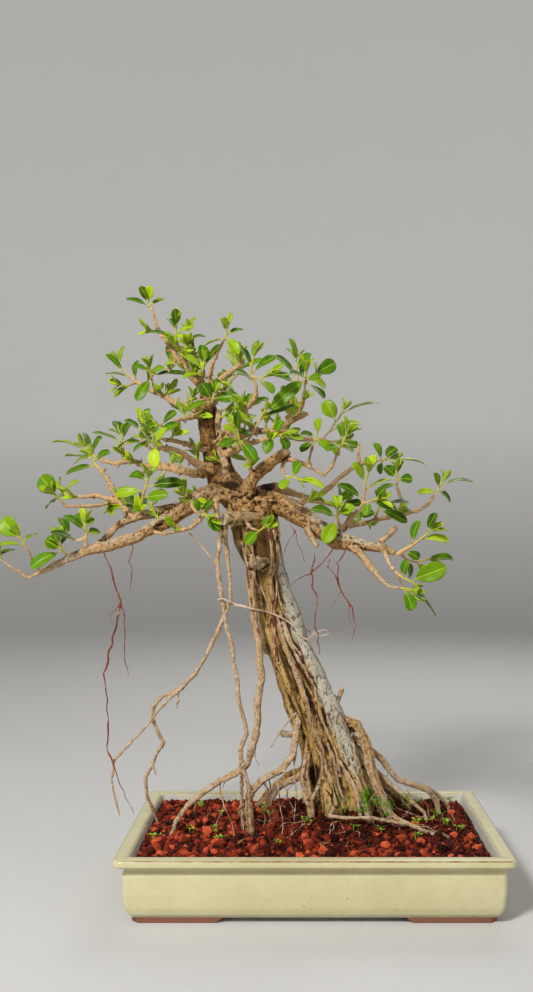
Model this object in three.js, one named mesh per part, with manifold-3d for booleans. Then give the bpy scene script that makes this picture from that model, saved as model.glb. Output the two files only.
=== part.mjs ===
// A green island ficus bonsai in its glazed tray: millimetres, +Z up, the front faces -Y.
import * as THREE from "three";
import { mergeVertices } from "three/addons/utils/BufferGeometryUtils.js";
import Module from "manifold-3d";

const wasm = await Module();
wasm.setup();

// Driving dimensions of the tray.
const TRAY = {
  length: 358,
  width: 258,
  height: 60,
  corner: 8,
  innerCorner: 5,
  cornerSteps: 4,
  footHeight: 5,
  floor: 11,
};
// Outside of the tray from its underside up to the rim, then down the inside:
// [set in from the rim's edge, height].
const TRAY_PROFILE = [
  [15, 5], [11.5, 8.5], [9, 15], [7.8, 28], [7.5, 44], [9.5, 49.6], [2.5, 52], [0, 53.4], [0, 58.4], [1.8, 60],
  [12, 60], [14, 58.4], [16.5, 48], [21, 14], [24, 11],
];
const FOOT = { inset: 15, alongLength: 84, alongWidth: 62, thick: 17, chamfer: 6, endSlope: 8, sink: 1 };
const DRAIN = { x: 86, radius: 13, sides: 16 };
const SCREEN = { size: 40, thick: 1.4, hole: 13, pitch: 17 };
const GAP = 0.3;

// Soil: level at the wall, the mound round the trunk's foot, and the grit relief.
const SOIL = {
  level: 51,
  lean: 2,
  rise: 25,
  spread: 56,
  moundX: 34,
  moundY: 30,
  grain: 15,
  jitter: 0.5,
  roughness: 2.6,
  top: 100,
};

// The tree is drawn on an upright sheet through the trunk, in millimetres across and down from its top left
// corner, as an eye in front of it sees it. The third number is the depth behind the sheet,
// and the fourth the radius.
const EYE = { distance: 1100, x: -14, z: 356, across: 299, down: 524, soilBelow: 760 };
const SHEET_Y = 5;

// Roughness of thick wood, and the lobes, corners and levels of the trunk's skin. Corners crowd in front.
const BARK = {
  wobble: 0.07,
  roughFrom: 2.4,
  lobes: 5,
  lobeRise: 0.07,
  lobeTurn: 0.4,
  corners: 32,
  crowding: 0.4,
  levels: 17,
  top: 500,
  bottom: 822,
};

// The trunk's core: [across, down, depth, half width, half depth].
const CORE = [
  [256, 500, 3, 25, 21], [255, 516, 4, 23, 21], [256, 540, 4, 19, 18], [263, 566, 5, 15.5, 17],
  [272, 600, 8, 17, 16], [285.5, 640, 12, 21, 19], [303, 680, 16, 22, 21], [319, 715, 20, 25, 24],
  [333, 745, 24, 28, 27], [340, 770, 27, 31, 30], [345, 795, 29, 35, 34], [347, 822, 30, 38, 37],
];

// Strands fused into the trunk's skin: [across, down, radius], in front and behind.
const FRONT_STRANDS = {
  right_grey_strand: [[278, 560, 4], [286, 590, 6.5], [295, 622, 8], [306.5, 655, 9], [321, 685, 10],
    [334, 712, 10], [345, 738, 8.5], [354, 765, 8], [364, 792, 6.5], [374, 822, 5]],
  left_edge_strand: [[270, 528, 4], [270, 600, 4.2], [272, 640, 4.6], [279, 675, 5], [289, 706, 5],
    [299, 732, 4.5], [306, 756, 4.5]],
  outer_brown_strand: [[232, 500, 7], [234, 522, 6], [240, 542, 5.4], [248, 565, 4.6], [257, 590, 3.8],
    [264, 612, 3]],
  middle_tan_strand: [[246, 520, 5], [249, 558, 4.6], [255, 585, 4.4], [264, 612, 4.2], [275, 645, 5.2],
    [290, 680, 6.5], [305, 712, 7.5], [316, 740, 8], [325, 765, 9], [331, 790, 10], [334, 822, 10]],
  yellow_strand: [[310, 668, 3], [317, 692, 3.4], [317, 715, 3.2], [311, 736, 3]],
  low_strand: [[326, 700, 4], [334, 728, 4.6], [343, 756, 5], [354, 782, 5], [367, 822, 4]],
};
const BACK_STRANDS = {
  back_left_strand: [[262, 540, 5], [266, 590, 6], [279, 640, 7], [292, 690, 8], [306, 735, 9],
    [312, 775, 10], [308, 822, 8]],
  back_middle_strand: [[272, 530, 5], [282, 590, 6], [298, 645, 8], [318, 700, 9], [334, 750, 10],
    [340, 822, 10]],
  back_right_strand: [[290, 600, 5], [306, 645, 6.5], [328, 700, 8], [350, 750, 8.5], [366, 822, 8]],
};

// Thin roots that lie on the trunk's front: [across, down, radius].
const THIN_STRANDS = {
  pale_thin_strand: [[277, 615, 2], [287, 650, 2.2], [308, 712, 2.4], [318, 742, 2.6], [323, 765, 2.6],
    [322, 790, 2.4], [314, 806, 2.2], [298, 819, 2], [285, 826, 1.6]],
  slanting_thin_strand: [[282, 622, 1.8], [296, 655, 2], [312, 684, 2.2], [342, 720, 2.4]],
};

// Limbs, twigs, roots and stubs: [across, down, depth, radius] from the thick end to the thin one.
const WOOD = {
  upper_trunk: [[254, 514, 6, 21], [223, 478, 8, 15], [209.5, 430, 8, 10.8], [207, 412, 8, 10.6],
    [205, 400, 8, 7.5]],
  grey_upper_strip: [[226, 468, -7, 3.6], [219, 445, -2, 3.4], [218, 410, 0, 3]],
  cut_stub_front: [[223, 518.5, -30, 6.5], [266, 518, -10, 7]],
  knob_under_fork: [[249, 563, -21, 5], [258, 562, -16, 5.6], [266, 562, -6, 5.8]],
  knob_middle: [[262, 646, 1, 3], [276, 656, 10, 3.2]],
  stub_right: [[341.5, 687, 16, 2], [332, 714, 22, 2.8]],
  stub_left: [[282, 733, 14, 3.4], [303, 735, 22, 3.6]],
  knob_low: [[350, 731, 2, 4.6], [348, 734, 14, 6]],

  left_limb: [[246, 504, 2, 13], [222, 494, -2, 11], [204, 497, -5, 9.4], [136, 538, -23, 5.8],
    [86, 551, -34, 4.4], [30, 579, -45, 2], [18, 571, -48, 1.6], [5, 562, -52, 1.3]],
  left_limb_fork: [[176, 508, -12, 5], [130, 518, -9, 4], [118, 524, -12, 3.8], [100, 546, -28, 3]],
  left_up_branch: [[130, 518, -9, 3.6], [119, 502, -5, 2.9], [95, 494, 4, 2.1], [82, 496, 9, 1.8],
    [70, 495, 13, 1.4]],
  left_low_twig: [[119, 503, -5, 2.4], [110, 503, -12, 2], [66, 508, -28, 1.5], [61, 502, -31, 1.3]],
  left_rear_twig: [[120, 503, -5, 2.8], [106, 478, 14, 2], [100, 469, 22, 1.6]],
  left_tip_twig: [[42, 574, -42, 1.9], [34, 563, -49, 1.6], [28, 551, -56, 1.3]],
  left_top_spur: [[86, 551, -34, 2.6], [86, 542, -39, 1.5]],
  left_under_spur: [[70, 559, -37, 2.2], [66, 555, -44, 1.4]],
  left_mid_twig: [[140, 515, -10, 2.4], [141, 505, -15, 1.7]],
  left_hanging_loop: [[218, 498, -8, 4], [206, 510, -18, 2.8], [200, 521, -23, 2.5], [191, 528, -26, 2.4],
    [164, 533, -27, 2.2], [152, 531, -22, 2.2]],
  grey_left_stub: [[172, 513, -16, 2.8], [152, 525, -30, 2.2]],
  left_inner_twig: [[196, 500, -9, 2.6], [192, 508, -24, 1.9], [198, 514, -34, 1.4]],

  middle_left_branch: [[216, 472, 10, 6], [190, 473, 31, 3.8], [163, 466, 53, 3.3], [148, 466, 63, 3],
    [133, 460, 73, 2.7], [116, 463, 84, 2.3], [104, 461, 92, 2], [97, 457, 97, 1.5]],
  middle_left_spur: [[126, 461, 78, 2], [122, 449, 86, 1.4]],
  middle_left_riser: [[160, 466, 55, 2.4], [149, 448, 45, 1.7], [143, 441, 41, 1.4]],
  middle_left_knob: [[148, 466, 62, 2.4], [144, 474, 70, 1.5]],
  front_left_branch: [[212, 470, -2, 6], [198, 466, -14, 3.8], [180, 451, -34, 2.8], [170, 447, -43, 2.3],
    [159, 447, -52, 1.6]],
  front_left_upper: [[210, 450, 4, 4], [198, 449, -6, 2.9], [173, 439, -27, 2], [163, 438, -35, 1.5]],
  orange_twig: [[207, 414, 4, 2.8], [177, 422, -22, 1.5], [166, 427, -31, 1.3]],
  upper_left_branch: [[208, 414, 10, 5.4], [187, 407, 27, 3.4], [160, 395, 50, 2.5], [146, 388, 60, 2.1]],
  upper_left_spur: [[156, 393, 53, 2], [152, 383, 45, 1.4]],

  apex_branch: [[206, 408, 8, 7.4], [205, 391, 8, 4.8], [189, 375, 5, 3.5], [180, 352, -2, 2.2],
    [177, 341, -6, 1.5]],
  apex_tip: [[182, 364, 1, 2.7], [157, 329, 14, 1.7], [152, 313, 17, 1.4]],
  apex_side: [[176, 357, 4, 1.9], [172, 365, 12, 1.6], [169, 371, 20, 1.3]],
  apex_rear_twig: [[199, 384, 8, 2.6], [203, 371, 18, 2], [198, 358, 28, 1.7], [189, 343, 36, 1.3]],
  apex_front_twig: [[206, 394, 6, 2.8], [213, 360, -20, 1.8], [223, 342, -32, 1.3]],
  cut_branch_top: [[208, 396, 4, 3.6], [214, 384, -6, 3], [243, 361, -32, 2.4]],

  crown_right_riser: [[214, 448, 2, 5.4], [233, 424, -16, 3.7], [243, 416, -25, 3.2], [255, 396, -38, 2.3],
    [257, 387, -43, 1.9]],
  crown_back_branch: [[216, 448, 10, 6], [228, 441, 14, 4.6], [256, 431, 27, 3.8], [268, 431, 35, 3.3],
    [297, 439, 57, 2.4], [315, 439, 69, 1.9]],
  crown_front_branch: [[216, 458, 4, 4.4], [262, 440, -30, 2.1], [270, 438, -38, 1.6]],
  crown_riser_left: [[284, 437, 47, 2.6], [289, 423, 51, 2.3], [293, 398, 56, 1.9]],
  crown_riser_right: [[290, 423, 51, 2.2], [299, 415, 44, 2.2], [303, 404, 37, 2], [305, 386, 27, 1.5]],
  dead_stub_upper: [[270, 432, 34, 3], [308, 413, 14, 2.3]],
  dead_stub_lower: [[262, 431, 29, 2.6], [298, 431, 8, 1.8]],

  right_arm: [[246, 504, 0, 10], [248, 488, -7, 7.8], [254, 477, -12, 6.6], [287, 450, -27, 5]],
  right_arm_low: [[272, 461, -20, 3.4], [288, 459, -24, 2.7], [324, 475, -38, 2], [331, 466, -45, 1.6],
    [339, 448, -54, 1.3]],
  right_arm_twig: [[254, 479, -12, 3.2], [245, 456, -24, 2.1], [241, 446, -30, 1.5]],
  right_arm_riser: [[308, 468, -31, 1.9], [311, 456, -27, 1.6], [313, 447, -24, 1.3]],
  right_arm_under: [[285, 460, -23, 2], [281, 470, -33, 1.6], [284, 476, -40, 1.3]],
  right_limb: [[254, 508, 3, 15], [272, 502, 0, 11.6], [288, 506, -4, 10.8], [336, 540, -18, 8.4],
    [386, 550, -32, 4.2], [396, 553, -35, 2.6]],
  right_limb_stub: [[305, 525, -14, 3.8], [318, 546, -22, 2.8]],
  right_high_branch: [[294, 510, -2, 5.4], [304, 500, 6, 3.7], [320, 493, 18, 2.9], [357, 465, 52, 1.9],
    [376, 461, 64, 1.4]],
  right_high_cut_twig: [[357, 465, 52, 1.8], [360, 443, 60, 1.3]],
  right_far_branch: [[334, 537, -14, 4.4], [343, 528, -4, 3.1], [414, 511, 42, 2], [427, 504, 50, 1.7],
    [434, 496, 55, 1.4]],
  right_far_riser: [[399, 515, 32, 1.9], [402, 500, 28, 1.6], [398, 487, 24, 1.3]],
  right_near_riser: [[342, 532, -12, 3], [351, 517, -22, 2.1], [360, 506, -32, 1.8]],
  right_near_spur: [[342, 531, -12, 2.4], [338, 523, -24, 1.4]],
  right_short_stub: [[376, 547, -28, 3.2], [396, 527, -20, 2]],
  right_low_fork: [[352, 546, -24, 5.2], [389, 585, -56, 2], [399, 588, -61, 1.4]],
  right_drop_twig: [[386, 551, -34, 2.9], [391, 564, -42, 2.1], [396, 570, -46, 1.8]],
  front_short_twig: [[247, 522, -22, 2.2], [251, 529, -31, 1.6], [258, 531, -38, 1.3]],

  // Branches that grow away from the front, behind the crown.
  rear_low_limb: [[252, 502, 14, 11], [262, 492, 36, 7], [276, 488, 58, 5], [292, 492, 78, 3.6],
    [310, 500, 96, 2.6], [330, 506, 112, 1.6]],
  rear_low_side: [[276, 488, 58, 3.2], [268, 494, 82, 2.3], [258, 506, 104, 1.5]],
  rear_left_limb: [[240, 500, 14, 9], [222, 494, 36, 5.6], [204, 496, 58, 4.2], [166, 510, 96, 2.3],
    [146, 512, 112, 1.5]],
  rear_upper_branch: [[213, 450, 12, 5.6], [230, 432, 56, 2.7], [238, 420, 76, 1.6]],
  rear_top_branch: [[206, 408, 10, 5], [214, 400, 28, 3], [224, 392, 46, 2.2], [232, 382, 62, 1.5]],

  // Prop roots.
  prop_root_a: [[214, 500, -12, 3], [221, 536, -22, 2], [218, 560, -22, 2], [220, 587, -22, 2],
    [246, 735, -25, 2.2], [239, 750, -25, 2.2], [240, 764, -25, 2.2], [248, 784, -25, 2.4],
    [252, 842, -25, 3]],
  prop_root_b: [[226, 519, -20, 3], [225, 535, -22, 1.9], [231, 586, -23, 1.9], [230, 602, -23, 1.9],
    [222, 622, -23, 1.9], [196, 673, -16, 1.9], [180, 689, -12, 2], [162, 697, -10, 1.9],
    [153, 707, -8, 1.9], [153, 717, -7, 1.9], [164, 743, -5, 1.9], [145, 778, 2, 1.6], [147, 796, 6, 1.6],
    [154, 812, 12, 1.6], [162, 836, 20, 1.6]],
  prop_root_b_fork: [[177, 691, -12, 1.7], [114, 761, -17, 1.3], [110, 780, -17, 1.2],
    [120, 817, -17, 0.9]],
  prop_root_c: [[247, 538, -14, 4.4], [261, 680, -22, 3.4], [255, 734, -23, 3.6], [247, 762, -24, 3.6],
    [236, 773, -24, 3.2], [220, 780, -24, 3], [187, 806, -24, 2.6], [176, 822, -24, 2.3],
    [168, 844, -23, 2.2]],
  prop_root_c_fork: [[248, 760, -24, 2.8], [241, 772, -17, 2], [243, 842, -7, 1.2]],
  prop_root_d: [[299, 716, 0, 3.8], [292, 756, -10, 3.6], [280, 770, -14, 3.7], [262, 780, -18, 3.8],
    [251, 791, -21, 4], [248, 806, -22, 3.8], [252, 842, -20, 3.4]],
  prop_root_d_spur: [[278, 771, -14, 1.6], [286, 770, -18, 1.1]],

  // Roots that leave the foot of the trunk.
  foot_root_left: [[309, 738, 10, 4.6], [305, 774, -2, 4.4], [312, 818, -8, 4.2]],
  foot_root_right: [[345, 721, 8, 5], [356, 724, 4, 5], [363, 735, 0, 4.6], [374, 779, -8, 4.6],
    [392, 822, -16, 4]],
  foot_root_front: [[345, 748, 6, 3.6], [359, 784, -10, 3.4], [372, 832, -20, 3]],
  thin_front_root: [[340, 758, -4, 1.8], [356, 794, -18, 1.8], [360, 816, -22, 1.6]],
  side_root_upper: [[354, 738, 16, 4], [378, 755, 14, 3], [398, 779, 20, 3], [429, 790, 32, 3.1],
    [437, 802, 36, 2.8], [440, 822, 38, 2.6]],
  side_root_lower: [[352, 752, 12, 4], [424, 812, 6, 1.8], [432, 836, 6, 1.7]],
  side_root_fork: [[426, 788, 31, 2.4], [437, 794, 44, 2], [448, 806, 54, 1.8], [452, 822, 58, 1.7]],
  surface_root_pink: [[337, 800, 2, 3], [330, 816, -24, 1.9], [346, 818, -36, 1.8], [372, 818, -34, 1.8],
    [420, 827, -28, 1.6]],
  surface_root_right: [[376, 800, -4, 3], [396, 818, -20, 2.2], [412, 826, -30, 2], [432, 834, -32, 1.9],
    [452, 838, -30, 1.8], [470, 848, -26, 1.6]],
  back_root_left: [[306, 770, 40, 6], [288, 778, 52, 5], [272, 790, 64, 4.2], [258, 806, 74, 3.6]],
  back_root_middle: [[334, 776, 52, 7], [332, 784, 70, 5.4], [326, 796, 86, 4.2], [320, 812, 98, 3.6]],
  back_root_right: [[364, 772, 44, 6.4], [380, 782, 60, 5], [410, 808, 82, 3.4]],
  fallen_root_left: [[322, 766, 20, 4.6], [278, 786, 20, 3], [268, 806, 20, 2.8]],
};
const FINE_ROOTS = {
  root_from_left_limb: [[172, 519, -13, 1.1], [190, 534, -18, 0.9], [204, 549, -20, 0.9],
    [219, 566, -22, 0.9]],
  twig_root_left_foot: [[301, 711, 2, 1.4], [291, 718, -4, 1], [281, 731, -8, 0.9], [270, 748, -10, 0.8]],
  thin_root_mid: [[294, 750, -8, 1.2], [295, 772, -10, 0.9], [296, 792, -8, 0.9], [294, 822, -4, 0.9]],
  small_fork_c: [[254, 742, -23, 1.4], [254, 757, -25, 1], [259, 767, -27, 0.8]],
  small_twig_c: [[259, 664, -22, 1], [251, 662, -22, 0.8]],
  small_fork_b: [[178, 690, -12, 1.2], [177, 710, -10, 0.8]],
  small_side_b: [[151, 762, -2, 1.1], [156, 776, -2, 0.8]],
};

// Red aerial roots that hang from a limb. The first point is sought on the bark, from "seek" below it.
const HANGING = { sides: 4, seek: 14, lead: 3 };
const AERIAL_ROOTS = {
  aerial_root_left: [
    [[104, 556, -28, 1], [111, 568, -28, 1.2], [116, 589, -26, 1.3], [121, 601, -25, 1.4],
      [117, 624, -24, 1.2], [110, 652, -24, 1.2], [104, 674, -24, 1.1], [107, 702, -23, 1.1],
      [107, 746, -22, 1.2], [116, 773, -30, 1.1], [126, 797, -34, 0.9], [134, 815, -34, 0.7]],
    [[121, 600, -25, 1.1], [125, 620, -22, 0.9], [124, 656, -20, 0.9], [126, 677, -20, 0.7]],
    [[120, 605, -25, 0.9], [111, 615, -28, 0.8], [111, 625, -28, 0.7]],
  ],
  aerial_root_short: [
    [[133, 546, -24, 1], [130, 561, -24, 0.9], [133, 577, -24, 0.9], [132, 591, -24, 0.8]],
  ],
  aerial_root_right_inner: [
    [[292, 519, -8, 1], [293, 532, -9, 1], [287, 547, -8, 1], [282, 556, -8, 0.8]],
    [[293, 530, -9, 0.9], [299, 546, -13, 0.8], [306, 562, -15, 0.7]],
  ],
  aerial_root_right_middle: [
    [[333, 549, -20, 1.1], [322, 560, -20, 1], [310, 573, -20, 1], [296, 580, -18, 0.8],
      [290, 586, -17, 0.7]],
    [[315, 552, -17, 0.9], [310, 572, -20, 1.1], [312, 588, -20, 1.1], [317, 602, -20, 1], [316, 628, -20, 1],
      [320, 646, -16, 0.9], [319, 656, -13, 0.8]],
  ],
  aerial_root_right_outer: [
    [[346, 553, -24, 1], [336, 562, -26, 1], [336, 578, -28, 1], [341, 592, -30, 1.1], [352, 607, -30, 1],
      [357, 626, -30, 0.9], [351, 642, -30, 0.7]],
    [[341, 593, -30, 1], [336, 581, -30, 0.9], [327, 567, -30, 0.9], [328, 557, -30, 0.8]],
    [[341, 591, -30, 0.9], [336, 600, -32, 0.8], [332, 607, -33, 0.7]],
    [[348, 601, -30, 0.9], [352, 624, -34, 0.7]],
  ],
};

// The fibre tie round two prop roots and the trunk, with a small loop at its right end.
const TIE = [
  [[234.4, 604, -23, 0.9], [230, 602, -28, 0.9], [222, 599.6, -27.2, 0.9], [218, 600, -23.4, 0.9],
    [218.4, 600.6, -21, 0.9]],
  [[218, 600, -24, 0.9], [219, 601, -19.4, 0.9], [222.5, 602, -17.6, 0.9], [230, 604, -18.2, 0.9],
    [234.6, 604.4, -22.6, 0.9]],
  [[233.4, 603.8, -23, 1.4], [240, 606.4, -23.6, 1.3], [248, 608.2, -24, 1.4]],
  [[246.6, 608, -24, 0.9], [254, 609, -25.4, 0.9], [262, 610.5, -20, 0.9], [270, 612.5, -13, 0.9],
    [278, 616, -13.6, 0.9], [284, 619.5, -12, 0.9], [293, 627, -10.6, 0.9], [300, 634, -11.4, 0.9],
    [304.5, 637.5, -11.2, 0.9], [309, 638.5, -9.6, 0.9], [312.6, 636.5, -3, 0.9], [315.4, 634.5, 2, 0.9]],
  [[247.4, 608.2, -24.4, 0.9], [246.6, 608, -16, 0.9], [251, 609, -9, 0.9], [254.4, 611, 3, 0.9],
    [255.8, 612, 12, 0.9], [261, 613.5, 21.4, 0.9], [268.6, 616, 33.4, 0.9], [276, 617.5, 35.4, 0.9],
    [290, 623, 34.6, 0.9], [298, 626, 35.4, 0.9], [306, 629, 29, 0.9], [312, 631, 14, 0.9],
    [314, 632.5, 7, 0.9], [315.2, 634.3, 1.4, 0.9]],
  [[313, 634.6, 2, 1.5], [317.6, 634.4, 2.2, 1.7]],
  [[315.4, 634.2, 2.2, 0.9], [320, 631, 1, 0.9], [327.4, 630.4, 2.2, 0.9], [328.6, 632.8, 3, 0.9]],
  [[328, 630.8, 2.2, 0.9], [327.6, 634, 3.4, 0.9], [321, 635.8, 3.6, 0.9], [315.4, 634.8, 2.2, 0.9]],
];

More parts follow.
